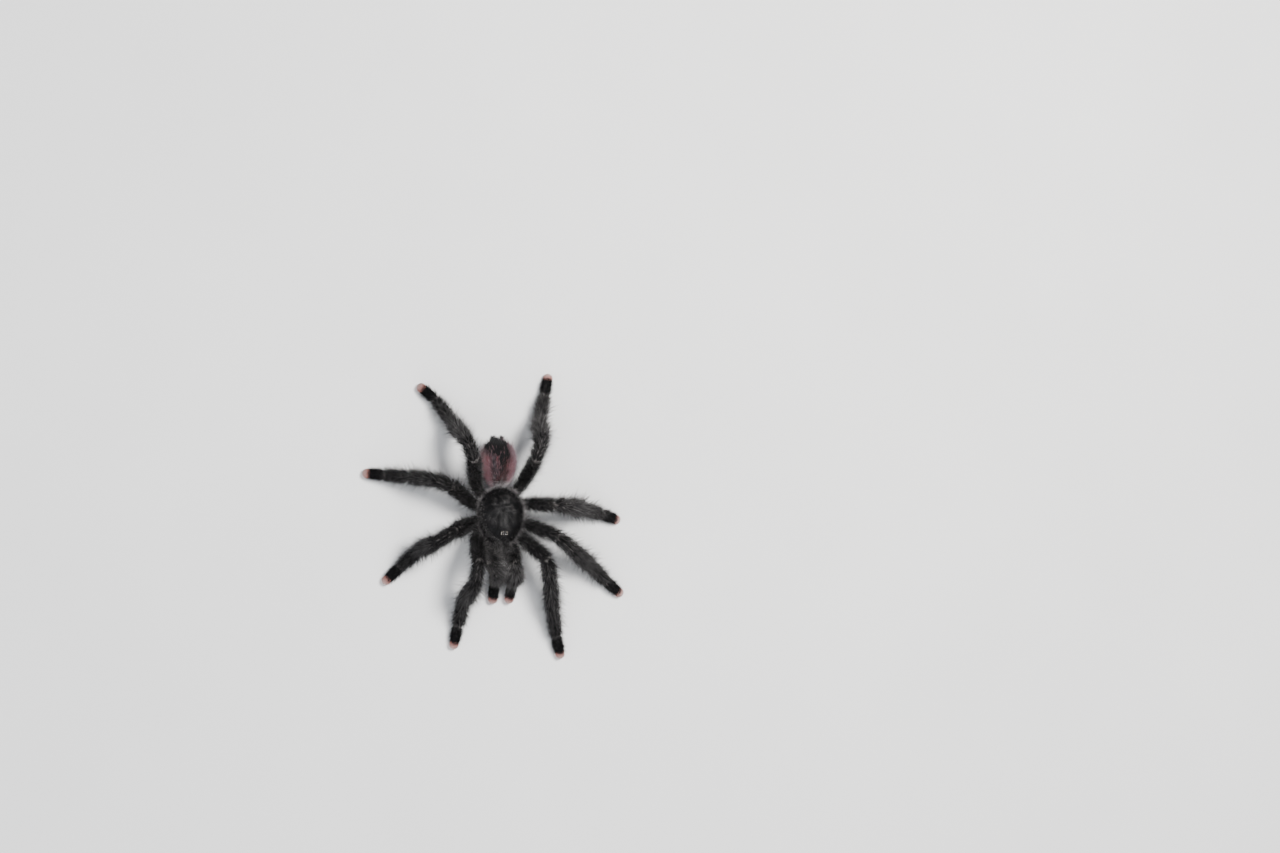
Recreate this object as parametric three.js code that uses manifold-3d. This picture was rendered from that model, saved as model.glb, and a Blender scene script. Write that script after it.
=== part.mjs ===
// Pink toe tarantula, a life-size still model that stands on a flat floor. Millimetres, +Z up.
// The head points along -Y and the animal's left side is +X. While the model is built, the middle
// of the carapace is at x = y = 0 and the floor is z = 0. The last lines move the whole group so
// that its origin is the bottom centre of its bounding box.

import * as THREE from 'three';
import { mergeVertices } from 'three/addons/utils/BufferGeometryUtils.js';
import Module from 'manifold-3d';

const wasm = await Module();
wasm.setup();

const { abs, asin, cos, exp, hypot, max, min, sin, PI } = Math;
const radians = THREE.MathUtils.degToRad;
const point = (x, y, z) => new THREE.Vector3(x, y, z);
const UP = point(0, 0, 1);

const SEED_STEP = 7919;
let seed = 20 * SEED_STEP;
/** A repeatable random value between -reach and +reach. */
function vary(reach) {
  seed += SEED_STEP;
  return reach * (2 * THREE.MathUtils.seededRandom(seed) - 1);
}

// ---- driving dimensions ------------------------------------------------------------------

const GAP = 0.3; // clear space between neighbouring pieces
const JOINT_BLEND = 2.6; // how far from a joint the rings lean towards its plane
const LEG_COAT = 1.8; // reach of the long leg hairs beyond the bare leg
const LEG_CORE = 0.6; // depth of the dense short coat that the long locks grow from
const ABDOMEN_CORE = 0.8; // the same for the abdomen
const ABDOMEN_LIFT = 0.3; // height of a lock's tip over the abdomen's core
const LEG_CREST = 1.7; // how much higher the locks on top of a leg stand, as a share of their lift
const SHORTEST_LOCK = 1.6;
const FLOOR_CLEARANCE = 0.4; // no lock comes nearer to the floor

// A lock bends at its shoulder. The shares are of its width, of its root's depth and of its
// length; the other values are lengths.
const LOCK = {
  depth: 0.5, // of its root below the coat
  rootWidth: 0.1,
  rootThickness: 0.8,
  shoulder: 0.36,
  clearance: 0.5, // of its shoulder's edges above the coat
  thickness: 0.6,
};

const CARAPACE_HALF_WIDTH = 8.7;
const CARAPACE_REAR = 9; // from the middle of the carapace to its rear end
const CARAPACE_NOSE = 12; // and to the front end of its outline, which a flat front wall cuts off
const CARAPACE_FRONT = 10.7; // the front wall, above the chelicerae
const CARAPACE_UNDERSIDE = 8.4;
const CARAPACE_RIM = 9.1;
const CARAPACE_CROWN = 12.4;
const CARAPACE_RINGS = [0.975, 0.92, 0.82, 0.7, 0.57, 0.43, 0.28, 0.13]; // shares of its reach
const CARAPACE_NARROWING = 0.06; // of its width towards the front
const DOME = { roundness: 2.4, frontRoundness: 5 }; // a higher value is flatter, with a steeper rim
const HEAD = { rise: 1.3, ahead: 6.4, halfWidth: 3.9, halfLength: 4.5 }; // the raised head region
const FOVEA = { depth: 0.9, back: 2.4, halfWidth: 1.5, halfLength: 0.8 }; // the pit on its top
const FURROWS = { depth: 0.3, count: 8, sharpness: 3 }; // they run outwards from the pit

// The fringe of the carapace: how far out and how high its locks are rooted, where it stops, and
// how its locks differ from the others.
const FRINGE = { count: 24, foot: 0.92, height: 8.9, length: 2.3, front: -8, lift: 0.15 };
const FRINGE_LOCK = { thickness: 0.5, depth: 0.35, clearance: 0.1 };

const EYE_MOUND = { ahead: 7.7, halfWidth: 1.5, halfLength: 1.05, height: 0.85, slope: 0.6 };
const EYES = [
  // across, ahead of the mound's middle, radius of each lens on the left half
  [0.42, 0.42, 0.36],
  [1.15, 0.35, 0.32],
  [0.6, -0.45, 0.22],
  [1.12, -0.42, 0.27],
];

const STERNUM_BOTTOM = 3.4;
const STERNUM_TOP = CARAPACE_UNDERSIDE - GAP;
const STERNUM_HALF_FACE = 1.25; // half width of the face at the root of a limb
const STERNUM_BEVEL = 0.7;
const STERNUM_FLOOR = 0.8; // share of its width at its bottom

const ABDOMEN_MIDDLE = point(-0.4, 19, 8.4);
const ABDOMEN_BARE = { halfWidth: 6, halfLength: 7.7, halfHeight: 4.9 };
const ABDOMEN_TAPER = 0.86; // a lower value makes its ends blunter
const ABDOMEN_REAR = 0.09; // how much wider it is towards the rear
const ABDOMEN_BELLY = 0.92; // height of its lower half beside its upper half
const PEDICEL = { front: 6.3, radius: 1.2, height: 6.7, inside: 4 };

// Legs are numbered from the front. Each row gives where the coxa leaves the sternum, where the
// leg clears the carapace, the free lengths (femur, patella, tibia, metatarsus, tarsus; a palp
// has no metatarsus), the heights of the ends after the patella, and the girth of the limb.
const LIMB_KINDS = {
  leg_1: {
    root: [3.4, -4.6, 6], hip: [8.1, -8.2, 6], girth: 1,
    lengths: [15, 8.5, 13.3, 10.2, 8.6], heights: [4.6, 1.9, 1.2],
  },
  leg_2: {
    root: [4.1, -1.6, 6], hip: [9.8, -3.6, 6], girth: 0.97,
    lengths: [14.8, 8.2, 12.4, 9.8, 8.6], heights: [4.6, 1.9, 1.2],
  },
  leg_3: {
    root: [4.1, 1.6, 6], hip: [9.8, 3.4, 6], girth: 0.94,
    lengths: [12.8, 6.8, 10.6, 9.6, 8], heights: [4.6, 1.9, 1.2],
  },
  leg_4: {
    root: [3.1, 4.8, 6], hip: [7.8, 8.6, 6], girth: 1,
    lengths: [15.4, 7.4, 12.8, 11.4, 8.2], heights: [4.6, 1.9, 1.2],
  },
  palp: {
    root: [2, -7.2, 5], hip: [5.2, -11.4, 5.4], girth: 0.86,
    lengths: [9.4, 5.6, 7.4, 8.6], heights: [3.2, 1.2],
  },
};

// The stance. turn is the heading of each free length, in degrees from straight out sideways,
// backwards positive; rise is how steeply the femur and the patella climb.
const STANCE = {
  leg_left_1: { turn: [-44, -75, -78, -76, -76], rise: [22, -17] },
  leg_left_2: { turn: [-23, -39, -34, -40, -39], rise: [19, -5] },
  leg_left_3: { turn: [-2, -4, -8, -13, -20], rise: [33, -7] },
  leg_left_4: { turn: [69, 69, 71, 74, 77], rise: [36, -1] },
  leg_right_1: { turn: [-74, -81, -83, -81, -79], rise: [45, -4] },
  leg_right_2: { turn: [-16, -30, -41, -45, -43], rise: [41, 2] },
  leg_right_3: { turn: [34, 22, 8, 4, 5], rise: [20, -6] },
  leg_right_4: { turn: [68, 71, 69, 56, 38], rise: [35, 0] },
  palp_left: { turn: [-86, -76, -84, -99], rise: [38, -9] },
  palp_right: { turn: [-90, -124, -127, -88], rise: [36, -11] },
};

const TROCHANTER_LENGTH = 1.6;
const TOE_SHARE = 0.3; // the pink end's share of the tarsus

// Sections of a leg: part of the path, place along that part, bare half width, bare half
// height, and how fully the coat covers it.
const FEMUR_SECTIONS = [
  [0, 0, 1.3, 1.65, 0],
  [0, 0.55, 1.42, 1.85, 0],
  [1, 0, 1.5, 1.75, 0],
  [2, 0, 1.5, 1.6, 0.1],
  [2, 0.16, 1.5, 1.6, 0.5],
  [2, 0.38, 1.6, 1.7, 1],
  [2, 0.65, 1.6, 1.7, 1],
  [2, 0.88, 1.5, 1.55, 0.9],
  [2, 1, 1.4, 1.45, 0.25],
];
const SHIN_SECTIONS = [
  [0, 0, 1.4, 1.45, 0.25],
  [0, 0.25, 1.55, 1.6, 0.9],
  [0, 0.7, 1.5, 1.55, 1],
  [1, 0, 1.4, 1.45, 0.6],
  [1, 0.2, 1.5, 1.5, 1],
  [1, 0.55, 1.55, 1.55, 1],
  [1, 0.88, 1.4, 1.4, 0.9],
  [1, 1, 1.3, 1.3, 0.25],
];
const METATARSUS_SECTIONS = [
  [0, 0, 1.25, 1.25, 0.2],
  [0, 0.18, 1.3, 1.25, 0.8],
  [0, 0.55, 1.3, 1.2, 0.8],
  [0, 0.86, 1.35, 1.2, 0.6],
  [0, 1, 1.3, 1.15, 0.2],
];
const TARSUS_SECTIONS = [
  [0, 0, 1.35, 1.4, 0.1],
  [0, 0.25, 1.55, 1.65, 0.2],
  [0, 0.65, 1.65, 1.75, 0.2],
  [0, 1, 1.6, 1.6, 0.15],
];
const TOE_SECTIONS = [
  [0, 0, 1.65, 1.6, 0],
  [0, 0.35, 1.85, 1.6, 0],
  [0, 0.8, 1.6, 1.45, 0],
  [0, 1, 1, 0.95, 0],
];

// Rows of locks: part of the path, place along that part, locks in the row, and the length of
// each lock as a share of that part.
const FEMUR_LOCKS = [
  [2, 0.2, 4, 0.42],
  [2, 0.55, 4, 0.42],
];
const SHIN_LOCKS = [
  [0, 0.25, 4, 0.72],
  [1, 0.1, 4, 0.46],
  [1, 0.5, 4, 0.46],
];
const PALP_SHIN_LOCKS = [
  [0, 0.2, 4, 0.8],
  [1, 0.2, 4, 0.75],
];
const METATARSUS_LOCKS = [
  [0, 0.2, 4, 0.74],
];
// The abdomen's rows: bearing in degrees from its front end to its rear end, locks in the row,
// and their length.
const ABDOMEN_LOCKS = [
  [36, 8, 4.4],
  [59, 11, 4.6],
  [83, 12, 4.6],
  [107, 11, 4.4],
  [130, 9, 3.8],
  [152, 6, 2.6],
];
const SPINNERET_CLEARANCE = 2.6;
const JAW_SPACE = { halfWidth: 4.4, front: -18.8 }; // free of locks, for the chelicerae
const ABDOMEN_LOCK_WIDTH = 0.98; // share of a row's girth that its locks cover
const LIMB_LOCK_WIDTH = 0.88;
const FRINGE_LOCK_WIDTH = 0.92;

const CHELICERA = {
  path: [[1.75, -10.7, 8.9], [1.8, -14.2, 8.7], [1.8, -16, 6.2]],
  sections: [
    [0, 0, 1.5, 2.1, 0],
    [0, 0.5, 1.58, 2.4, 0],
    [0, 1, 1.55, 2.1, 0],
    [1, 0.6, 1.35, 1.5, 0],
    [1, 1, 1.05, 1.1, 0],
  ],
};
const FANG = {
  path: [[1.8, -16.2, 5.4], [1.75, -15.9, 4.1], [1.5, -14.4, 3.3], [1.1, -12.6, 3.1]],
  sections: [
    [0, 0, 0.62, 0.62, 0],
    [1, 0, 0.55, 0.55, 0],
    [2, 0, 0.42, 0.42, 0],
    [2, 1, 0.25, 0.25, 0],
  ],
};
const SPINNERET = {
  bearing: 152, // where it grows: degrees from the abdomen's front end to its rear end
  round: 158, // and degrees round from the abdomen's top
  lengths: [1.6, 1.8],
  climbs: [-4, 12],
  spread: 0.2, // outwards, beside its way back
  sections: [
    [0, 0, 0.75, 0.75, 0],
    [1, 0, 0.65, 0.65, 0],
    [1, 1, 0.42, 0.42, 0],
  ],
};

const MATERIALS = {
  carapace: { color: 0x1c1a1d, roughness: 0.42 },
  coat: { color: 0x2c2a2c, roughness: 0.85 },
  abdomen: { color: 0xa2525a, roughness: 0.9 },
  toe: { color: 0xe9a79b, roughness: 0.8 },
  lens: { color: 0x0b0a0d, roughness: 0.12 },
  fang: { color: 0x160f0e, roughness: 0.25 },
};

// ---- shapes ------------------------------------------------------------------------------

/** A closed geometry through rings of equal count, each counter-clockwise seen from ahead. */
function loft(rings, startApex, endApex) {
  const count = rings[0].length;
  const middle = (ring) => ring.reduce((sum, p) => sum.add(p), point(0, 0, 0)).divideScalar(count);
  const vertices = rings.flat();
  vertices.push(startApex ?? middle(rings[0]), endApex ?? middle(rings.at(-1)));
  const start = vertices.length - 2;
  const end = vertices.length - 1;
  const last = (rings.length - 1) * count;
  const index = [];
  for (let j = 0; j < count; j += 1) {
    const next = (j + 1) % count;
    index.push(start, next, j);
    for (let i = 0; i < rings.length - 1; i += 1) {
      const here = i * count;
      const ahead = here + count;
      index.push(here + j, here + next, ahead + next);
      index.push(here + j, ahead + next, ahead + j);
    }
    index.push(last + j, last + next, end);
  }
  const geometry = new THREE.BufferGeometry().setFromPoints(vertices);
  geometry.setIndex(index);
  return geometry;
}

/** A ring of points on an ellipse about a centre, right-handed from across to upward. */
function ellipse(centre, across, upward, count) {
  return Array.from({ length: count }, (_, j) => {
    const angle = (2 * PI * j) / count;
    return centre.clone().addScaledVector(across, cos(angle)).addScaledVector(upward, sin(angle));
  });
}

/**
 * A tube along a line of joints. Each section is [part of the path, place along that part, bare
 * half width, bare half height, cover]; the cover says how far the coat's core thickens it. The
 * rings near a joint lean into the plane that halves its bend, and the end rings keep half a gap
 * from the end planes.
 */
class Limb {
  constructor(path, sections, options = {}) {
    const axes = path.slice(1).map((to, i) => to.clone().sub(path[i]).normalize());
    const shape = { sides: 8, girth: 1, core: 0, startGap: GAP / 2, endGap: GAP / 2, bulge: 0 };
    Object.assign(this, shape, options, { path, sections, axes });
    this.lengths = path.slice(1).map((to, i) => to.distanceTo(path[i]));
    this.planes = path.map((_, i) => bisector(axes[i - 1] ?? axes[0], axes[i] ?? axes.at(-1)));
    this.planes[0] = options.startPlane ?? this.planes[0];
    this.planes[path.length - 1] = options.endPlane ?? this.planes.at(-1);
  }

  /** Half width and half height with the coat's core, between the sections on either side. */
  girthAt(part, place) {
    const next = this.sections.findIndex(([p, q]) => p > part || (p === part && q >= place));
    const [fromPart, fromPlace, ...from] = this.sections[max(0, next - 1)];
    const [toPart, toPlace, ...to] = this.sections[next];
    const start = fromPart === part ? fromPlace : 0;
    const end = toPart === part ? toPlace : 1;
    const share = end > start ? (place - start) / (end - start) : 1;
    const [wide, tall, cover] = from.map((value, i) => value + (to[i] - value) * share);
    return [(wide + cover * this.core) * this.girth, (tall + cover * this.core) * this.girth];
  }

  /** One ring of the tube, or its point at one angle: 0 is across and a quarter turn is up. */
  ring(part, place, angles, shift = 0) {
    const axis = this.axes[part];
    const behind = place * this.lengths[part];
    const ahead = this.lengths[part] - behind;
    const plane = axis.clone();
    plane.addScaledVector(this.planes[part].clone().sub(axis), max(0, 1 - behind / JOINT_BLEND));
    plane.addScaledVector(this.planes[part + 1].clone().sub(axis), max(0, 1 - ahead / JOINT_BLEND));
    plane.normalize();
    const centre = this.path[part].clone().addScaledVector(axis, behind);
    centre.addScaledVector(axis, shift / axis.dot(plane));
    const up = UP.clone().addScaledVector(axis, -axis.z).normalize();
    const across = up.clone().cross(axis);
    const [wide, tall] = this.girthAt(part, place);
    return angles.map((angle) => {
      const p = centre.clone();
      p.addScaledVector(across, wide * cos(angle)).addScaledVector(up, tall * sin(angle));
      p.addScaledVector(axis, -p.clone().sub(centre).dot(plane) / axis.dot(plane));
      return p.setZ(max(p.z, 0));
    });
  }

  geometry() {
    const angles = Array.from({ length: this.sides }, (_, j) => (2 * PI * (j + 0.5)) / this.sides);
    const rings = this.sections.map(([part, place], i) => {
      const atEnd = i === this.sections.length - 1;
      return this.ring(part, place, angles, (i === 0) * this.startGap - atEnd * this.endGap);
    });
    const tip = this.path.at(-1).clone().addScaledVector(this.axes.at(-1), this.bulge);
    return loft(rings, undefined, this.bulge > 0 ? tip : undefined);
  }

  /** Where a lock grows: its foot on the surface, the way out of it and the way along it. */
  seat(part, place, angle) {
    const [foot] = this.ring(part, place, [angle]);
    const axis = this.axes[part];
    const outward = foot.clone().sub(this.path[part]);
    outward.addScaledVector(axis, -outward.dot(axis));
    return { foot, radius: outward.length(), outward: outward.normalize(), along: axis };
  }
}

function bisector(one, other) {
  return one.clone().add(other).normalize();
}

/**
 * A flat lock of hair. It leaves its seat narrow and at a slant, widens and bends at its shoulder
 * to lie along the coat, and tapers to a point. A ridge along its back keeps it thick, and its
 * edges follow the curve of the coat below.
 */
function lock({ foot, outward, along, radius }, look) {
  const { length, width, lift, depth, rootWidth, rootThickness, clearance, thickness } = {
    ...LOCK, ...look,
  };
  const across = outward.clone().cross(along);
  const ringAt = (forward, height, halfWidth, rise) => {
    const centre = foot.clone().addScaledVector(along, forward).addScaledVector(outward, height);
    const edge = centre.clone().addScaledVector(outward, -(halfWidth ** 2) / (2 * radius));
    const left = edge.clone().addScaledVector(across, halfWidth);
    const right = edge.addScaledVector(across, -halfWidth);
    return [left, centre.addScaledVector(outward, rise), right];
  };
  const root = ringAt(0, -depth, width * rootWidth, depth * rootThickness);
  const shoulder = ringAt(length * LOCK.shoulder, clearance, width / 2, thickness);
  const tip = foot.clone().addScaledVector(along, length).addScaledVector(outward, lift);
  return loft([root, shoulder], undefined, tip);
}

const besideJaws = (p) => abs(p.x) < JAW_SPACE.halfWidth && p.y > JAW_SPACE.front;

/** Rows of locks on a limb, none of them past its end plane, near the floor or beside the jaws. */
function limbLocks(base, rows) {
  const locks = [];
  rows.forEach(([part, place, count, share], row) => {
    for (let k = 0; k < count; k += 1) {
      const angle = PI / 2 + (2 * PI * (k + 0.5 * (row % 2) + vary(0.12))) / count;
      const seat = base.seat(part, place + vary(0.03), angle);
      const width = (2 * PI * seat.radius * LIMB_LOCK_WIDTH) / count;
      const crest = 1 + LEG_CREST * max(0, seat.outward.z);
      const lift = (LEG_COAT - LEG_CORE) * base.girth * (1 + vary(0.25)) * crest;
      let length = base.lengths[part] * share * (1 + vary(0.1));
      const tip = seat.foot.clone().addScaledVector(seat.along, length);
      tip.addScaledVector(seat.outward, lift);
      const plane = base.planes.at(-1);
      const past = tip.clone().sub(base.path.at(-1)).dot(plane) + GAP;
      length -= max(0, past / seat.along.dot(plane));
      const clear = tip.z > FLOOR_CLEARANCE && ![seat.foot, tip].some(besideJaws);
      if (clear && length > SHORTEST_LOCK) locks.push(lock(seat, { length, width, lift }));
    }
  });
  return locks;
}

const furry = (base, rows) => joined([base.geometry(), ...limbLocks(base, rows)]);

/** The closed solid of a geometry, for joining. */
function solidOf(geometry) {
  const bare = geometry.clone();
  bare.deleteAttribute('normal');
  bare.deleteAttribute('uv');
  const merged = mergeVertices(bare, 1e-4);
  const vertProperties = new Float32Array(merged.attributes.position.array);
  const triVerts = new Uint32Array(merged.index.array);
  return new wasm.Manifold(new wasm.Mesh({ numProp: 3, vertProperties, triVerts }));
}

/** One closed geometry out of several that overlap. */
function joined(geometries) {
  const solid = geometries.map(solidOf).reduce((sum, next) => sum.add(next));
  const largest = solid.decompose().sort((a, b) => b.volume() - a.volume())[0];
  const mesh = largest.getMesh();
  const geometry = new THREE.BufferGeometry();
  geometry.setAttribute('position', new THREE.BufferAttribute(mesh.vertProperties, 3));
  geometry.setIndex(new THREE.BufferAttribute(mesh.triVerts, 1));
  return geometry;
}

const mirrored = (path, side) => path.map(([x, y, z]) => point(side * x, y, z));

// ---- body --------------------------------------------------------------------------------

/** How far out a place on the carapace lies, from 0 at the middle to 1 at its rim. */
const carapaceReach = (x, y) =>
  hypot(x / CARAPACE_HALF_WIDTH, y / (y > 0 ? CARAPACE_REAR : CARAPACE_NOSE));

function carapaceHeight(x, y) {
  const reach = min(1, carapaceReach(x, y));
  const front = THREE.MathUtils.smoothstep(-y, 1, CARAPACE_FRONT);
  const dome = 1 - reach ** (DOME.roundness + DOME.frontRoundness * front);
  const mound = (place, { halfWidth, halfLength }) =>
    exp(-((x / halfWidth) ** 2) - ((y - place) / halfLength) ** 2);
  const head = HEAD.rise * mound(-HEAD.ahead, HEAD) * dome;
  const fovea = FOVEA.depth * mound(FOVEA.back, FOVEA);
  const heading = Math.atan2(y - FOVEA.back, x);
  const ray = max(0, cos(FURROWS.count * heading)) ** FURROWS.sharpness;
  const furrow = FURROWS.depth * ray * 4 * reach * (1 - reach);
  return CARAPACE_RIM + (CARAPACE_CROWN - CARAPACE_RIM) * dome + head - fovea - furrow;
}

/** A place over the carapace, its rings gathering towards the pit as they close. */
function carapacePoint(reach, angle, heightOf) {
  const narrowing = 1 - CARAPACE_NARROWING * THREE.MathUtils.smoothstep(-sin(angle), 0.2, 1);
  const x = CARAPACE_HALF_WIDTH * reach * cos(angle) * narrowing;
  const halfLength = sin(angle) > 0 ? CARAPACE_REAR : CARAPACE_NOSE;
  const y = halfLength * reach * sin(angle) + FOVEA.back * (1 - reach);
  return point(x, max(y, -CARAPACE_FRONT), heightOf(x, y));
}

function carapace() {
  const sides = 32;
  const ringAt = (reach, heightOf) =>
    Array.from({ length: sides }, (_, j) => carapacePoint(reach, (2 * PI * j) / sides, heightOf));
  const rings = [
    ringAt(0.5, () => CARAPACE_UNDERSIDE),
    ringAt(0.94, () => CARAPACE_UNDERSIDE),
    ringAt(1, () => CARAPACE_RIM),
  ];
  rings.push(...CARAPACE_RINGS.map((reach) => ringAt(reach, carapaceHeight)));
  const pit = point(0, FOVEA.back, carapaceHeight(0, FOVEA.back));
  return joined([loft(rings, undefined, pit), ...fringe()]);
}

/** The fringe of short locks round the carapace's rim, open at its front wall. */
function fringe() {
  const locks = [];
  for (let k = 0; k < FRINGE.count; k += 1) {
    const angle = (2 * PI * (k + 0.5 + vary(0.15))) / FRINGE.count;
    const foot = carapacePoint(FRINGE.foot, angle, () => FRINGE.height);
    const along = carapacePoint(1.05, angle, () => FRINGE.height).sub(foot).normalize();
    if (foot.y > FRINGE.front) {
      locks.push(lock({ foot, along, outward: UP, radius: CARAPACE_HALF_WIDTH }, {
        ...FRINGE_LOCK,
        length: FRINGE.length * (1 + vary(0.15)),
        width: (2 * PI * CARAPACE_HALF_WIDTH * FRINGE_LOCK_WIDTH) / FRINGE.count,
        lift: vary(FRINGE.lift),
      }));
    }
  }
  return locks;
}

/** The eye mound and its eight lenses, a gap above the head. */
function eyes() {
  const sides = 12;
  const { ahead, halfWidth, halfLength, height } = EYE_MOUND;
  const middle = point(0, -ahead, 0);
  const ringAt = ([share, lift]) =>
    ellipse(middle, point(halfWidth * share, 0, 0), point(0, halfLength * share, 0), sides)
      .map((p) => p.setZ(carapaceHeight(p.x, p.y) + GAP + height * lift));
  const pieces = [loft([[0.5, 0], [0.98, 0], [1, 0.35], [0.85, 0.73], [0.5, 1]].map(ringAt))];
  for (const side of [1, -1]) {
    for (const [across, forward, radius] of EYES) {
      const x = side * across;
      const y = -ahead - forward;
      const slope = EYE_MOUND.slope * hypot(x / halfWidth, forward / halfLength) ** 3;
      const lens = new THREE.SphereGeometry(radius, 6, 4);
      lens.translate(x, y, carapaceHeight(x, y) + GAP + height * (1 - slope));
      pieces.push(lens);
    }
  }
  return joined(pieces);
}

/** The core between the coxae: its outline turns a flat face to the root of each of them. */
function sternum() {
  const outline = [];
  for (const side of [1, -1]) {
    const half = ['palp', 'leg_1', 'leg_2', 'leg_3', 'leg_4'].flatMap((kind) => {
      const [root, hip] = mirrored([LIMB_KINDS[kind].root, LIMB_KINDS[kind].hip], 1);
      const axis = hip.sub(root).setZ(0).normalize();
      const reach = STERNUM_HALF_FACE * LIMB_KINDS[kind].girth;
      const halfFace = point(-axis.y, axis.x, 0).multiplyScalar(reach);
      const middle = root.clone().addScaledVector(axis, -GAP / 2);
      return [middle.clone().sub(halfFace), middle.clone().add(halfFace)];
    });
    const turned = side > 0 ? half : half.reverse();
    outline.push(...turned.map((p) => point(side * p.x, p.y, 0)));
  }
  const ringAt = (z, share) => outline.map((p) => point(p.x * share, p.y * share, z));
  const rim = ringAt(STERNUM_BOTTOM + STERNUM_BEVEL, 1);
  return loft([ringAt(STERNUM_BOTTOM, STERNUM_FLOOR), rim, ringAt(STERNUM_TOP, 1)]);
}

/** A place on the abdomen: bearing runs from its front end to its rear end, round from its top. */
function abdomenPoint(bearing, round, coat) {
  const { halfWidth, halfLength, halfHeight } = ABDOMEN_BARE;
  const rearward = -cos(bearing);
  const fullness = sin(bearing) ** ABDOMEN_TAPER * (1 + ABDOMEN_REAR * rearward);
  const x = (halfWidth + coat) * fullness * sin(round);
  const z = (halfHeight + coat) * fullness * cos(round) * (cos(round) < 0 ? ABDOMEN_BELLY : 1);
  return point(x, (halfLength + coat) * rearward, z).add(ABDOMEN_MIDDLE);
}

/** A finger-like spinneret, from the abdomen's surface backwards. */
function spinneret(side) {
  const { bearing, round, lengths, climbs, spread, sections } = SPINNERET;
  const { foot, outward } = abdomenSeat(radians(bearing), side * radians(round));
  const path = [foot.addScaledVector(outward, GAP)];
  lengths.forEach((length, i) => {
    const climb = radians(climbs[i]);
    const step = point(side * spread, cos(climb), sin(climb)).normalize();
    path.push(path[i].clone().addScaledVector(step, length));
  });
  const shape = { sides: 8, startPlane: outward, startGap: 0, endGap: 0, bulge: 0.4 };
  return new Limb(path, sections, shape).geometry();
}

/** Where a lock grows on the abdomen: it lies towards the rear end. */
function abdomenSeat(bearing, round) {
  const step = 0.02;
  const foot = abdomenPoint(bearing, round, ABDOMEN_CORE);
  const along = abdomenPoint(bearing + step, round, ABDOMEN_CORE).sub(foot).normalize();
  const across = abdomenPoint(bearing, round + step, ABDOMEN_CORE).sub(foot).normalize();
  const outward = across.cross(along).normalize();
  return { foot, along, outward, radius: ABDOMEN_BARE.halfWidth };
}

function abdomenLocks() {
  const locks = [];
  const spinneretFeet = [1, -1].map(
    (side) => abdomenSeat(radians(SPINNERET.bearing), side * radians(SPINNERET.round)).foot,
  );
  ABDOMEN_LOCKS.forEach(([bearing, count, length], row) => {
    for (let k = 0; k < count; k += 1) {
      const round = (2 * PI * (k + 0.5 * (row % 2) + vary(0.12))) / count;
      const seat = abdomenSeat(radians(bearing + vary(3)), round);
      const girth = 2 * PI * ABDOMEN_BARE.halfWidth * sin(radians(bearing));
      const look = {
        length: length * (1 + vary(0.1)),
        width: (girth * ABDOMEN_LOCK_WIDTH) / count,
        lift: ABDOMEN_LIFT * (1 + vary(0.6)),
      };
      const tip = seat.foot.clone().addScaledVector(seat.along, look.length);
      const clear = spinneretFeet.every(
        (foot) => min(foot.distanceTo(tip), foot.distanceTo(seat.foot)) > SPINNERET_CLEARANCE,
      );
      if (clear) locks.push(lock(seat, look));
    }
  });
  return locks;
}

function abdomen() {
  const sides = 18;
  const steps = 11;
  const rings = Array.from({ length: steps - 1 }, (_, i) =>
    Array.from({ length: sides }, (__, j) =>
      abdomenPoint((PI * (i + 1)) / steps, (2 * PI * j) / sides, ABDOMEN_CORE),
    ),
  );
  const ends = [0, PI].map((bearing) => abdomenPoint(bearing, 0, ABDOMEN_CORE));
  const body = loft(rings, ...ends);
  const waist = point(0, PEDICEL.front, PEDICEL.height);
  const inside = ABDOMEN_MIDDLE.clone().add(point(0, -PEDICEL.inside, 0));
  const sections = [0, 1].map((place) => [0, place, PEDICEL.radius, PEDICEL.radius, 0]);
  const pedicel = new Limb([waist, inside], sections, { startPlane: point(0, 1, 0) });
  return joined([body, pedicel.geometry(), ...abdomenLocks()]);
}

// ---- limbs -------------------------------------------------------------------------------

/** The joints of a limb in order: root, hip, then the end of each free length. */
function jointsOf({ root, hip, lengths, heights }, { turn, rise }, side) {
  const joints = mirrored([root, hip], side);
  lengths.forEach((length, i) => {
    const from = joints.at(-1);
    const climb = i < 2 ? radians(rise[i]) : asin((heights[i - 2] - from.z) / length);
    const heading = radians(turn[i]);
    const step = point(side * cos(heading) * cos(climb), sin(heading) * cos(climb), sin(climb));
    joints.push(from.clone().addScaledVector(step, length));
  });
  return joints;
}

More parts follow.
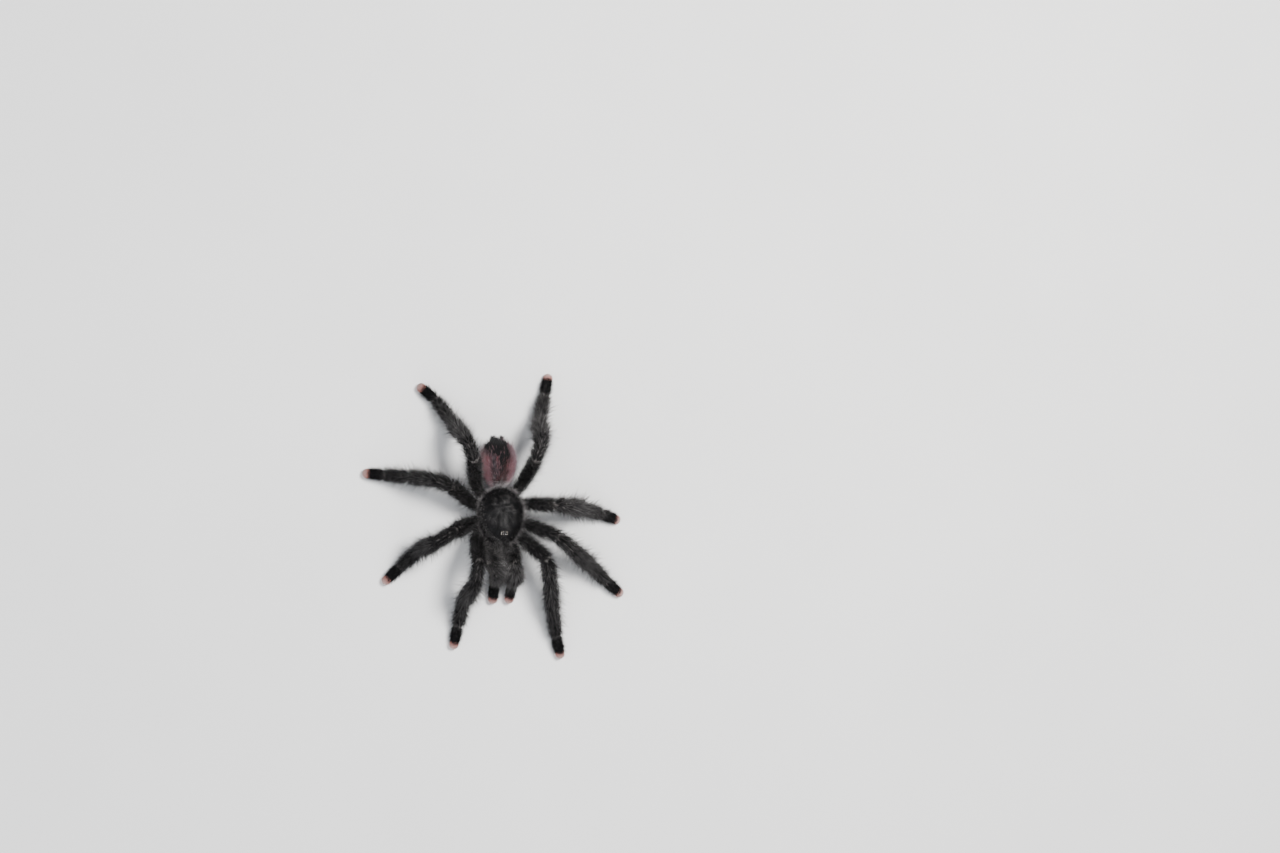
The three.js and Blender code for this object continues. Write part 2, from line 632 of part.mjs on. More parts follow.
/** The named geometries of one leg or palp, from the sternum out to the pink end. */
function limbPieces(name, kind, side) {
  const { girth, lengths } = LIMB_KINDS[kind];
  const joints = jointsOf(LIMB_KINDS[kind], STANCE[name], side);
  const axes = joints.slice(1).map((to, i) => to.clone().sub(joints[i]).normalize());
  const planes = joints.map((_, i) => bisector(axes[i - 1] ?? axes[0], axes[i] ?? axes.at(-1)));
  const [root, hip, knee] = joints;
  const trochanter = hip.clone().addScaledVector(bisector(axes[0], axes[1]), TROCHANTER_LENGTH);
  const core = LEG_CORE;
  const femur = new Limb([root, hip, trochanter, knee], FEMUR_SECTIONS, {
    girth, core, endPlane: planes[2],
  });
  const shin = new Limb(joints.slice(2, 5), SHIN_SECTIONS, {
    girth, core, startPlane: planes[2], endPlane: planes[4],
  });
  const shinLocks = kind === 'palp' ? PALP_SHIN_LOCKS : SHIN_LOCKS;
  const pieces = { femur: furry(femur, FEMUR_LOCKS), patella_tibia: furry(shin, shinLocks) };
  if (kind !== 'palp') {
    const metatarsus = new Limb(joints.slice(4, 6), METATARSUS_SECTIONS, {
      girth, core, startPlane: planes[4], endPlane: planes[5],
    });
    pieces.metatarsus = furry(metatarsus, METATARSUS_LOCKS);
  }
  const instep = joints.at(-2);
  const tip = joints.at(-1);
  const toe = instep.clone().lerp(tip, 1 - TOE_SHARE);
  const startPlane = planes[lengths.length];
  pieces.tarsus = new Limb([instep, toe], TARSUS_SECTIONS, { core, startPlane }).geometry();
  pieces.toe = new Limb([toe, tip], TOE_SECTIONS, { endGap: 0, bulge: 0.25 }).geometry();
  return pieces;
}

// ---- the animal --------------------------------------------------------------------------

const animal = new THREE.Group();
const materials = Object.fromEntries(
  Object.entries(MATERIALS).map(([slot, look]) => [slot, new THREE.MeshStandardMaterial(look)]),
);

function addNode(name, slot, geometry) {
  const mesh = new THREE.Mesh(geometry, materials[slot]);
  mesh.name = name;
  animal.add(mesh);
}

addNode('carapace', 'carapace', carapace());
addNode('eyes', 'lens', eyes());
addNode('sternum', 'coat', sternum());
addNode('abdomen', 'abdomen', abdomen());

for (const [sideName, side] of [['left', 1], ['right', -1]]) {
  const chelicera = new Limb(mirrored(CHELICERA.path, side), CHELICERA.sections, {
    startPlane: point(0, -1, 0), startGap: GAP, sides: 12, bulge: 0.3,
  });
  const fang = new Limb(mirrored(FANG.path, side), FANG.sections, { sides: 8, endGap: 0, bulge: 0.5 });
  addNode(`chelicera_${sideName}`, 'coat', chelicera.geometry());
  addNode(`fang_${sideName}`, 'fang', fang.geometry());
  addNode(`spinneret_${sideName}`, 'coat', spinneret(side));
  for (const kind of Object.keys(LIMB_KINDS)) {
    const [stem, number] = kind.split('_');
    const name = [stem, sideName, number].filter(Boolean).join('_');
    for (const [piece, geometry] of Object.entries(limbPieces(name, kind, side))) {
      addNode(`${name}_${piece}`, piece === 'toe' ? 'toe' : 'coat', geometry);
    }
  }
}

const bounds = new THREE.Box3().setFromObject(animal);
animal.position.set(-(bounds.min.x + bounds.max.x) / 2, -(bounds.min.y + bounds.max.y) / 2, 0);

const tarantula = new THREE.Group();
tarantula.add(animal);

export default tarantula;
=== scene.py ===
"""The finish of a pink toe tarantula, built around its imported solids.

Sizes and places are in millimetres, measured from the floor below the middle of the carapace,
with +Z up, the head along -Y and the animal's left side along +X. Blender gets them in metres,
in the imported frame. Colours are linear RGB.
"""
from math import asin, cos, hypot, pi, radians, sin, tau

import bpy
import numpy as np
from mathutils import Matrix, Vector


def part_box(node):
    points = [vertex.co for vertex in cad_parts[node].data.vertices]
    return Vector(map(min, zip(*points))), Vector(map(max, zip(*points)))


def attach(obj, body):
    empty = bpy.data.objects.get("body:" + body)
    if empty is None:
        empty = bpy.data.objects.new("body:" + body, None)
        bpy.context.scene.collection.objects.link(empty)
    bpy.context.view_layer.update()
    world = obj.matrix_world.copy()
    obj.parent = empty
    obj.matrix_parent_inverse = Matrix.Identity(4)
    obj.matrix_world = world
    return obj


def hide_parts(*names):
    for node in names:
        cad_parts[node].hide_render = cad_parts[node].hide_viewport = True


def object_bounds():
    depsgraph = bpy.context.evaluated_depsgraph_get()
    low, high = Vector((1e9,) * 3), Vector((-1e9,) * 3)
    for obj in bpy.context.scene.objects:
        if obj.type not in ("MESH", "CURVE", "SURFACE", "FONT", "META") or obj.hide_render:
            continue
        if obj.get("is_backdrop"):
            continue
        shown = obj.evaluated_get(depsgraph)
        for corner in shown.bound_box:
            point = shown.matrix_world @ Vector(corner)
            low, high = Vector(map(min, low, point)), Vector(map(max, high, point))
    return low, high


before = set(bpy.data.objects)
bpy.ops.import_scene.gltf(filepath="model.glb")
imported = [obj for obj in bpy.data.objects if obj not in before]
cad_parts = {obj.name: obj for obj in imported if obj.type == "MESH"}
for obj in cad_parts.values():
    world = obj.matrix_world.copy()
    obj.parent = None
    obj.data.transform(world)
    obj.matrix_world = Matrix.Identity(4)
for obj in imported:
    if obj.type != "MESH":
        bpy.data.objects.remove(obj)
cad_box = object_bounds()
rng = np.random.default_rng(7)

MM = 0.001
UP = np.array((0.0, 0.0, 1.0))
SIDES = {"left": 1, "right": -1}

# ---- sizes of the body ----

CARAPACE_HALF_WIDTH = 8.7
CARAPACE_REAR = 9.0  # from the middle of the carapace to its rear end
CARAPACE_NOSE = 12.0  # and to the front end of its outline, which a flat front wall cuts off
CARAPACE_FRONT = 10.7  # the front wall, above the chelicerae
CARAPACE_UNDERSIDE = 8.4
CARAPACE_RIM = 9.1
CARAPACE_CROWN = 12.4
CARAPACE_NARROWING = 0.06  # of its width towards the front
# Its edge from below: share of its reach, height over its underside.
CARAPACE_EDGE = ((0.4, 0.5), (0.93, 0.0), (0.985, 0.25), (1.0, 0.58), (0.998, 0.78))
DOME = {"roundness": 2.4, "front_roundness": 5.0}
HEAD = {"rise": 1.3, "ahead": 6.4, "half_width": 3.9, "half_length": 4.5}
FOVEA = {"depth": 0.9, "back": 2.4, "half_width": 1.5, "half_length": 0.8}
FURROWS = {"depth": 0.2, "count": 8, "sharpness": 1.6, "unevenness": 0.6}
# The groove that parts the head from the rest: a V from the fovea to the front.
HEAD_GROOVE = {"depth": 0.32, "slope": 0.62, "half_width": 0.6, "length": 9.0}

EYE_MOUND = {"ahead": 7.7, "half_width": 1.5, "half_length": 1.05, "height": 0.85, "slope": 0.6}
EYE_GAP = 0.3  # height of the mound's foot above the carapace
# The mound's cross-section: share of its reach and share of its height.
MOUND_PROFILE = (
    (0.9, -0.5), (1.04, -0.1), (1.02, 0.12), (0.97, 0.35),
    (0.86, 0.62), (0.7, 0.83), (0.5, 0.95), (0.25, 1.0),
)
EYES = (  # across, ahead of the mound's middle, radius of each lens on the left half
    (0.42, 0.42, 0.36),
    (1.15, 0.35, 0.32),
    (0.6, -0.45, 0.22),
    (1.12, -0.42, 0.27),
)
LENS_SINK = 0.35  # of a lens's radius
LENS_FLATNESS = 0.85

STERNUM = {"half_width": 4.3, "half_length": 6.6, "bottom": 3.4}
STERNUM_SIDE = ((0.0, 0.7), (0.35, 0.9), (1.1, 1.0), (4.7, 1.0))  # height over its bottom, width

ABDOMEN_MIDDLE = np.array((-0.4, 19.0, 8.4))
ABDOMEN = {"half_width": 6.0, "half_length": 7.7, "half_height": 4.9}
ABDOMEN_TAPER = 0.86
ABDOMEN_REAR = 0.09
ABDOMEN_BELLY = 0.92
PEDICEL = {"front": 6.3, "radius": 1.2, "height": 6.7}

CHELICERA_PATH = ((1.7, -8.4, 7.0), (1.75, -10.7, 8.7), (1.8, -14.2, 8.7), (1.8, -15.9, 6.4))
CHELICERA_SHAPE = (  # part of the path, place along it, half width, half height
    (0, 0.0, 1.1, 1.2),
    (1, 0.0, 1.4, 1.9),
    (1, 0.5, 1.5, 2.25),
    (1, 1.0, 1.45, 2.0),
    (2, 0.6, 1.25, 1.4),
    (2, 1.0, 0.95, 1.0),
)
FANG_PATH = ((1.8, -16.1, 5.7), (1.75, -15.9, 4.1), (1.5, -14.4, 3.3), (1.1, -12.6, 3.1))
FANG_SHAPE = (
    (0, 0.0, 0.62, 0.62),
    (1, 0.0, 0.56, 0.56),
    (2, 0.0, 0.4, 0.4),
    (2, 0.6, 0.22, 0.22),
    (2, 1.0, 0.05, 0.05),
)
SPINNERET = {"bearing": 152, "round": 158, "lengths": (1.9, 1.8), "climbs": (-4, 12), "spread": 0.2}
SPINNERET_SHAPE = ((0, 0.0, 0.72, 0.72), (1, 0.0, 0.62, 0.62), (1, 1.0, 0.34, 0.34))

# ---- sizes of the limbs ----

# Where the coxa leaves the sternum, where the limb clears the carapace, its girth, and its free
# lengths: femur, patella, tibia, metatarsus, tarsus. A palp has no metatarsus.
LIMB_KINDS = {
    "leg_1": ((3.4, -4.6, 6.0), (8.1, -8.2, 6.0), 1.0, (15, 8.5, 13.3, 10.2, 8.6)),
    "leg_2": ((4.1, -1.6, 6.0), (9.8, -3.6, 6.0), 0.97, (14.8, 8.2, 12.4, 9.8, 8.6)),
    "leg_3": ((4.1, 1.6, 6.0), (9.8, 3.4, 6.0), 0.94, (12.8, 6.8, 10.6, 9.6, 8)),
    "leg_4": ((3.1, 4.8, 6.0), (7.8, 8.6, 6.0), 1.0, (15.4, 7.4, 12.8, 11.4, 8.2)),
    "palp": ((2.0, -7.2, 5.0), (5.2, -11.4, 5.4), 0.86, (9.4, 5.6, 7.4, 8.6)),
}
LEG_HEIGHTS = (4.6, 1.9, 1.2)  # of the ends of the tibia, metatarsus and tarsus
PALP_HEIGHTS = (3.2, 1.2)
TROCHANTER_LENGTH = 1.6

# The stance: the heading of each free length, in degrees from straight out sideways, backwards
# positive, and how steeply the femur and the patella climb.
STANCE = {
    "leg_left_1": ((-44, -75, -78, -76, -76), (22, -17)),
    "leg_left_2": ((-23, -39, -34, -40, -39), (19, -5)),
    "leg_left_3": ((-2, -4, -8, -13, -20), (33, -7)),
    "leg_left_4": ((69, 69, 71, 74, 77), (36, -1)),
    "leg_right_1": ((-74, -81, -83, -81, -79), (45, -4)),
    "leg_right_2": ((-16, -30, -41, -45, -43), (41, 2)),
    "leg_right_3": ((34, 22, 8, 4, 5), (20, -6)),
    "leg_right_4": ((68, 71, 69, 56, 38), (35, 0)),
    "palp_left": ((-86, -76, -84, -99), (38, -9)),
    "palp_right": ((-90, -124, -127, -88), (36, -11)),
}

# The bare limb: segment, place along it, half width, half height.
LIMB_SHAPE = (
    ("coxa", 0.0, 1.3, 1.65),
    ("coxa", 0.55, 1.42, 1.85),
    ("trochanter", 0.0, 1.5, 1.75),
    ("femur", 0.0, 1.42, 1.5),
    ("femur", 0.16, 1.5, 1.6),
    ("femur", 0.38, 1.6, 1.7),
    ("femur", 0.65, 1.6, 1.7),
    ("femur", 0.9, 1.5, 1.55),
    ("femur", 1.0, 1.28, 1.35),
    ("patella", 0.22, 1.55, 1.6),
    ("patella", 0.75, 1.5, 1.55),
    ("tibia", 0.0, 1.32, 1.36),
    ("tibia", 0.15, 1.48, 1.5),
    ("tibia", 0.55, 1.55, 1.55),
    ("tibia", 0.9, 1.4, 1.4),
    ("metatarsus", 0.0, 1.12, 1.14),
    ("metatarsus", 0.16, 1.3, 1.25),
    ("metatarsus", 0.86, 1.35, 1.2),
    ("tarsus", 0.0, 1.22, 1.2),
    ("tarsus", 0.16, 1.52, 1.55),
    ("tarsus", 0.45, 1.62, 1.62),
    ("tarsus", 0.7, 1.55, 1.5),
    ("tarsus", 0.86, 1.3, 1.25),
    ("tarsus", 0.95, 0.7, 0.7),
)
TOE_START = 0.62  # along the tarsus
TOE_SHAPE = (  # place along the tarsus, half width, half height of the pink end
    (0.7, 1.5, 1.45),
    (0.76, 1.68, 1.5),
    (0.84, 1.72, 1.42),
    (0.93, 1.45, 1.2),
    (0.985, 0.9, 0.8),
    (1.0, 0.3, 0.25),
)
PATH_STEP = 0.2
JOINT_ROUNDING = 0.8
SOLE_HEIGHT = 0.12  # of the skin above the floor; the tufts fill it
LIMB_REACH = 2.1  # skin nearer than this to a limb's middle is the limb's
ABDOMEN_REACH = (6.8, 8.4, 5.6)  # and inside this ellipsoid round its middle, the abdomen's

# ---- colours ----

JET = np.array((0.004, 0.0038, 0.0044))
CHARCOAL = np.array((0.013, 0.0125, 0.0138))
ASH = np.array((0.044, 0.0425, 0.0435))
SMOKE = np.array((0.33, 0.315, 0.31))
RING = np.array((0.52, 0.48, 0.46))
WINE = np.array((0.085, 0.017, 0.022))
UMBER = np.array((0.10, 0.042, 0.045))
MAUVE = np.array((0.125, 0.098, 0.122))
DUST = np.array((0.30, 0.17, 0.19))
ROSE = np.array((0.38, 0.12, 0.14))
BLUSH = np.array((0.58, 0.38, 0.42))
LILAC = np.array((0.60, 0.49, 0.56))
FROST = np.array((0.76, 0.70, 0.71))
SALMON = np.array((0.58, 0.25, 0.21))
SHELL_PINK = np.array((0.74, 0.55, 0.51))
AMBER = np.array((0.030, 0.020, 0.015))
# the pale lenses: their own pearly colour, made lighter as painted highlight for the glints of the eyes
PEARL_AND_GLINT = np.array((0.16, 0.14, 0.12))
LENS_COLOURS = (AMBER, PEARL_AND_GLINT, PEARL_AND_GLINT, PEARL_AND_GLINT)  # in the order of EYES

# Colours of the noise in some materials: its value, its colour.
CUTICLE_TINTS = (
    (0.3, (0.0035, 0.0035, 0.004)), (0.55, (0.006, 0.0055, 0.006)), (0.75, (0.011, 0.0085, 0.009)),
)
FANG_TINTS = ((0.35, (0.006, 0.005, 0.005)), (0.75, (0.045, 0.012, 0.009)))
FLOOR_TINTS = ((0.35, (0.85, 0.847, 0.84)), (0.7, (0.89, 0.887, 0.88)))


def mix(one, other, share):
    """Colours between one and the other; share may be an array with one value a row."""
    share = np.asarray(share, float)[..., None]
    return one * (1 - share) + other * share


def smoothstep(x, low, high):
    t = np.clip((x - low) / (high - low), 0, 1)
    return t * t * (3 - 2 * t)


# ---- materials ----


def feed(tree, node, **inputs):
    """Gives each named input a constant, or a link from the output given."""
    for name, value in inputs.items():
        socket = node.inputs[name.replace("_", " ")]
        if isinstance(value, bpy.types.NodeSocket):
            tree.links.new(value, socket)
        else:
            socket.default_value = value
    return node


def add_node(tree, kind, **inputs):
    return feed(tree, tree.nodes.new(f"ShaderNode{kind}"), **inputs)


def noise(tree, scale, detail=3.0):
    place = add_node(tree, "TexCoord").outputs["Object"]
    node = add_node(tree, "TexNoise", Scale=scale, Detail=detail, Roughness=0.6, Vector=place)
    return node.outputs["Fac"]


def ramp(tree, value, stops):
    node = add_node(tree, "ValToRGB", Fac=value)
    elements = node.color_ramp.elements
    while len(elements) < len(stops):
        elements.new(0.5)
    for element, (position, colour) in zip(elements, stops):
        element.position = position
        element.color = (*colour, 1)
    return node.outputs["Color"]


def greys(low, high):
    """The stops of a ramp between two greys."""
    return (0.3, (low,) * 3), (0.7, (high,) * 3)


def new_material(name, scale, tints, **values):
    """A material tinted by a noise, whose shader's other sockets get constant values."""
    material = bpy.data.materials.new(name)
    material.use_nodes = True
    tree = material.node_tree
    colour = ramp(tree, noise(tree, scale), tints)
    feed(tree, tree.nodes["Principled BSDF"], Base_Color=colour, **values)
    return material


def marked_material(name, scale, low, high, **values):
    """A material in the marking's colours, made lighter and darker by a noise."""
    material = new_material(name, scale, greys(low, high), **values)
    tree = material.node_tree
    shader = tree.nodes["Principled BSDF"]
    marking = add_node(tree, "Attribute")
    marking.attribute_name = "marking"
    product = add_node(tree, "Mix")
    product.data_type = "RGBA"
    product.blend_type = "MULTIPLY"
    shade = shader.inputs["Base Color"].links[0].from_socket
    feed(tree, product, Factor=1.0, A=marking.outputs["Color"], B=shade)
    feed(tree, shader, Base_Color=product.outputs["Result"])
    return material


def grained(material, scale, strength, distance, detail=3.0, gloss=None):
    """Adds fine bumps, and a roughness between the two values of gloss that follows them."""
    tree = material.node_tree
    grain = noise(tree, scale, detail)
    bump = add_node(tree, "Bump", Strength=strength, Distance=distance, Height=grain)
    feed(tree, tree.nodes["Principled BSDF"], Normal=bump.outputs["Normal"])
    if gloss:
        feed(tree, tree.nodes["Principled BSDF"], Roughness=ramp(tree, grain, greys(*gloss)))
    return material


def make_materials():
    skin = marked_material("skin", 700, 0.7, 1.3, Roughness=0.6, Specular_IOR_Level=0.25)
    cuticle = new_material("carapace", 260, CUTICLE_TINTS, Specular_IOR_Level=0.35)
    return {
        "skin": grained(skin, 2800, 0.4, 0.0001),
        "coat": marked_material("coat", 330, 0.7, 1.2, Roughness=0.6, Specular_IOR_Level=0.07),
        "rose_coat": marked_material("rose_coat", 330, 0.8, 1.2, Roughness=0.55, Specular_IOR_Level=0.35),
        "toe": marked_material(
            "toe", 500, 0.88, 1.1, Roughness=0.7, Specular_IOR_Level=0.25, Sheen_Weight=0.3,
        ),
        "carapace": grained(cuticle, 5200, 0.35, 0.00006, detail=2.0, gloss=(0.46, 0.7)),
        "lens": marked_material(
            "lens", 900, 0.6, 1.3, Roughness=0.08, Specular_IOR_Level=0.7, Coat_Weight=1.0,
        ),
        "fang": new_material("fang", 420, FANG_TINTS, Roughness=0.2, Coat_Weight=0.4, Coat_Roughness=0.1),
        "floor": new_material("floor", 9, FLOOR_TINTS, Roughness=0.75, Specular_IOR_Level=0.25),
    }


MATERIALS = make_materials()

# ---- meshes ----


def unit(vectors):
    return vectors / np.linalg.norm(vectors, axis=-1, keepdims=True)


def circle(sides):
    return np.arange(sides) * tau / sides


def wrapped(angle):
    """An angle, or angles, between minus and plus half a turn."""
    return (angle + pi) % tau - pi


def part_origin():
    """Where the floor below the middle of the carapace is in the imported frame, in millimetres."""
    across = (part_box("sternum")[0].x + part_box("sternum")[1].x) / 2
    return np.array((across / MM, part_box("carapace")[0].y / MM + CARAPACE_FRONT, 0.0))


ORIGIN = part_origin()


def metres(points):
    return (np.asarray(points, float) + ORIGIN) * MM


def link(mesh, look):
    mesh.materials.append(MATERIALS[look])
    piece = bpy.data.objects.new(mesh.name, mesh)
    bpy.context.scene.collection.objects.link(piece)
    return piece


def add_piece(mesh, look, slot, *nodes):
    """Adds a mesh with its material to the root body, in place of the nodes named."""
    piece = link(mesh, look)
    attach(piece, "root")
    if nodes:
        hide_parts(*nodes)


def mesh_of(name, points, faces):
    mesh = bpy.data.meshes.new(name)
    mesh.from_pydata(metres(points).tolist(), [], faces)
    mesh.shade_smooth()
    return mesh


def set_marking(mesh, colours):
    """Gives each vertex its colour, for the materials to read."""
    marking = mesh.color_attributes.new("marking", "FLOAT_COLOR", "POINT")
    full = np.concatenate([colours, np.ones((len(colours), 1))], axis=1)
    marking.data.foreach_set("color", full.astype(np.float32).ravel())


def loft(rings, start=None, end=None):
    """A closed surface through rings of equal count, counter-clockwise seen from ahead."""
    rings = np.asarray(rings, float)
    rows, count, _ = rings.shape
    ends = [rings[0].mean(0) if start is None else start, rings[-1].mean(0) if end is None else end]
    points = np.vstack([rings.reshape(-1, 3), ends])
    first, last = rows * count, rows * count + 1
    faces = []
    for j in range(count):
        k = (j + 1) % count
        faces.append((first, k, j))
        for here in range(0, (rows - 1) * count, count):
            ahead = here + count
            faces.append((here + j, here + k, ahead + k, ahead + j))
        faces.append((first - count + j, first - count + k, last))
    return points, faces


def together(parts):
    """Several (points, faces) as one."""
    points, faces, start = [], [], 0
    for some, their_faces in parts:
        points.append(some)
        faces += [tuple(start + i for i in face) for face in their_faces]
        start += len(some)
    return np.vstack(points), faces


def fused(name, parts):
    """One closed mesh, the union of several closed ones."""
    pieces = []
    for i, (points, faces) in enumerate(parts):
        piece = bpy.data.objects.new(f"{name}_{i}", mesh_of(f"{name}_{i}", points, faces))
        bpy.context.scene.collection.objects.link(piece)
        pieces.append(piece)
    base, rest = pieces[0], bpy.data.collections.new(f"{name}_parts")
    for piece in pieces[1:]:
        rest.objects.link(piece)
    union = base.modifiers.new("union", "BOOLEAN")
    union.operation = "UNION"
    union.operand_type = "COLLECTION"
    union.collection = rest
    union.solver = "MANIFOLD"
    mesh = bpy.data.meshes.new_from_object(base.evaluated_get(bpy.context.evaluated_depsgraph_get()))
    for piece in pieces:
        bpy.data.objects.remove(piece)
    bpy.data.collections.remove(rest)
    mesh.name = name
    mesh.materials.clear()
    mesh.shade_smooth()
    return mesh


def with_normals(surface, one, other, step, side=1):
    """Points of a surface, the way out of it and the way along its first parameter."""
    here = surface(one, other)
    onward = surface(one + step, other) - here
    aside = surface(one, other + step) - here
    return here, side * unit(np.cross(onward, aside)), unit(onward)


class Tube:
    """A round limb along a path with rounded corners. Places along it are arc lengths."""

    def __init__(self, path, shape):
        path = np.asarray(path, float)
        self.ends = np.concatenate([[0], np.cumsum(np.linalg.norm(np.diff(path, axis=0), axis=1))])
        self.length = self.ends[-1]
        self.s = np.linspace(0, self.length, int(self.length / PATH_STEP) + 2)
        straight = np.stack([np.interp(self.s, self.ends, path[:, i]) for i in range(3)], axis=1)
        self.centre = self.rounded(straight)
        self.axis = unit(np.gradient(self.centre, axis=0))
        self.up = unit(UP - self.axis[:, 2:] * self.axis)
        self.across = np.cross(self.up, self.axis)
        places = [self.within(part, share) for part, share, *_ in shape]
        self.half_width = np.interp(self.s, places, [row[2] for row in shape])
        self.half_height = np.interp(self.s, places, [row[3] for row in shape])
        self.start, self.stop = places[0], places[-1]

    def within(self, part, share):
        """The place at a share of one part of the path."""
        return self.ends[part] + share * (self.ends[part + 1] - self.ends[part])

    def rounded(self, straight):
        """The path with its corners rounded, and its two ends kept."""
        reach = 8
        step = self.s[1] - self.s[0]
        weights = np.exp(-(((np.arange(-reach, reach + 1) * step) / JOINT_ROUNDING) ** 2))
        before = straight[0] + np.outer(np.arange(-reach, 0), straight[1] - straight[0])
        after = straight[-1] + np.outer(np.arange(1, reach + 1), straight[-1] - straight[-2])
        padded = np.vstack([before, straight, after])
        smooth = [np.convolve(padded[:, i], weights / weights.sum(), "valid") for i in range(3)]
        return np.stack(smooth, axis=1)

    def at(self, values, s):
        """A value of the path, or a vector of it, at the places s."""
        if values.ndim == 1:
            return np.interp(s, self.s, values)
        return np.stack([np.interp(s, self.s, values[:, i]) for i in range(3)], axis=-1)

    def surface(self, s, angle):
        """Points on the skin at places s and angles round, and the way out of the skin there."""
        side, top = np.cos(angle)[..., None], np.sin(angle)[..., None]
        across, up = self.at(self.across, s), self.at(self.up, s)
        wide, tall = self.at(self.half_width, s)[..., None], self.at(self.half_height, s)[..., None]
        points = self.at(self.centre, s) + across * wide * side + up * tall * top
        points[..., 2] = np.maximum(points[..., 2], SOLE_HEIGHT)
        return points, unit(across * side / wide + up * top / tall)

    def mesh(self, step=0.5, sides=20):
        """The skin from the first to the last place of its shape."""
        rows = np.linspace(self.start, self.stop, max(6, int((self.stop - self.start) / step)))
        s, angle = np.meshgrid(rows, circle(sides), indexing="ij")
        return loft(self.surface(s, angle)[0])


# ---- limbs ----

SEGMENTS = ("coxa", "trochanter", "femur", "patella", "tibia", "metatarsus", "tarsus")
RINGS = (("femur", 0.6), ("tibia", 0.85), ("metatarsus", 1.0))  # at the segment's end, and how pale
RING_PLACE = 0.45  # ahead of the segment's end
RING_HALF_WIDTH = 0.34


def joints_of(name, kind, side):
    """The ends of a limb's segments, from the sternum to the tip of the foot."""
    root, hip, _, lengths = LIMB_KINDS[kind]
    turns, rises = STANCE[name]
    heights = PALP_HEIGHTS if kind == "palp" else LEG_HEIGHTS
    joints = [np.array(p) * (side, 1, 1) for p in (root, hip)]
    for i, (length, turn) in enumerate(zip(lengths, turns)):
        here = joints[-1]
        climb = radians(rises[i]) if i < 2 else asin((heights[i - 2] - here[2]) / length)
        heading = radians(turn)
        level = np.array((side * cos(heading), sin(heading), 0.0))
        joints.append(here + length * (level * cos(climb) + UP * sin(climb)))
    hip, knee = joints[1:3]
    between = unit(unit(hip - joints[0]) + unit(knee - hip))
    return joints[:2] + [hip + between * TROCHANTER_LENGTH] + joints[2:]


class Limb(Tube):
    def __init__(self, name, kind, side):
        self.name = name
        self.kind = kind
        self.side = side
        self.is_palp = kind == "palp"
        self.segments = [s for s in SEGMENTS if not (self.is_palp and s == "metatarsus")]
        girth = LIMB_KINDS[kind][2]
        shape = []
        for segment, share, wide, tall in LIMB_SHAPE:
            if segment in self.segments:
                slim = 1 if segment == "tarsus" else girth
                shape.append((self.segments.index(segment), share, wide * slim, tall * slim))
        super().__init__(joints_of(name, kind, side), shape)

    def place(self, segment, share=0.0):
        return self.within(self.segments.index(segment), share)

    def along(self, table, s):
        """Values at places s, from a table of (segment, place along it, value)."""
        rows = [row for row in table if row[0] in self.segments]
        return np.interp(s, [self.place(*row[:2]) for row in rows], [row[2] for row in rows])

    def ring(self, s):
        """How strongly the pale rings show at the ends of some segments."""
        shown = 0
        for segment, strength in RINGS:
            if segment in self.segments:
                off = (s - self.place(segment, 1) + RING_PLACE) / RING_HALF_WIDTH
                shown = shown + strength * np.exp(-(off**2))
        return shown


def limbs():
    for side_name, side in SIDES.items():
        for kind in LIMB_KINDS:
            stem, *number = kind.split("_")
            yield Limb("_".join([stem, side_name, *number]), kind, side)


LIMBS = list(limbs())

# ---- coats ----

TUFT_PATCH = 0.003  # size of a tuft's patch on the coat's map
TUFT_SINK = 0.12  # depth of a tuft's root below the skin
TUFT_FLATNESS = 0.42  # a tuft's thickness as a share of its width
TUFT_GIRTH = ((0, 0.4, 1), (0.75, 1, 0))  # places along a tuft, and its width there
FLOOR_CLEARANCE = 0.03
R2_STEPS = np.array((0.7548776662466927, 0.5698402909980532))  # of the evenly spread R2 sequence

# How many tufts each layer of hair has. Toes, chelicerae and spinnerets have as many each.
TUFTS = {
    "carapace_nap": 13500, "carapace_fringe": 3300, "carapace_rim": 2600, "eye_bristles": 900,
    "abdomen_nap": 14000, "abdomen_pelt": 7600, "abdomen_halo": 3600, "abdomen_ruff": 520,
    "abdomen_rear": 2000, "toe": 1700, "chelicera_nap": 3600, "chelicera_long": 1400,
    "spinneret": 620, "sternum": 4200,
}
LIMB_TUFTS = {"leg": (8600, 6000, 2700), "palp": (6000, 4800, 2600)}  # nap, pelt, setae

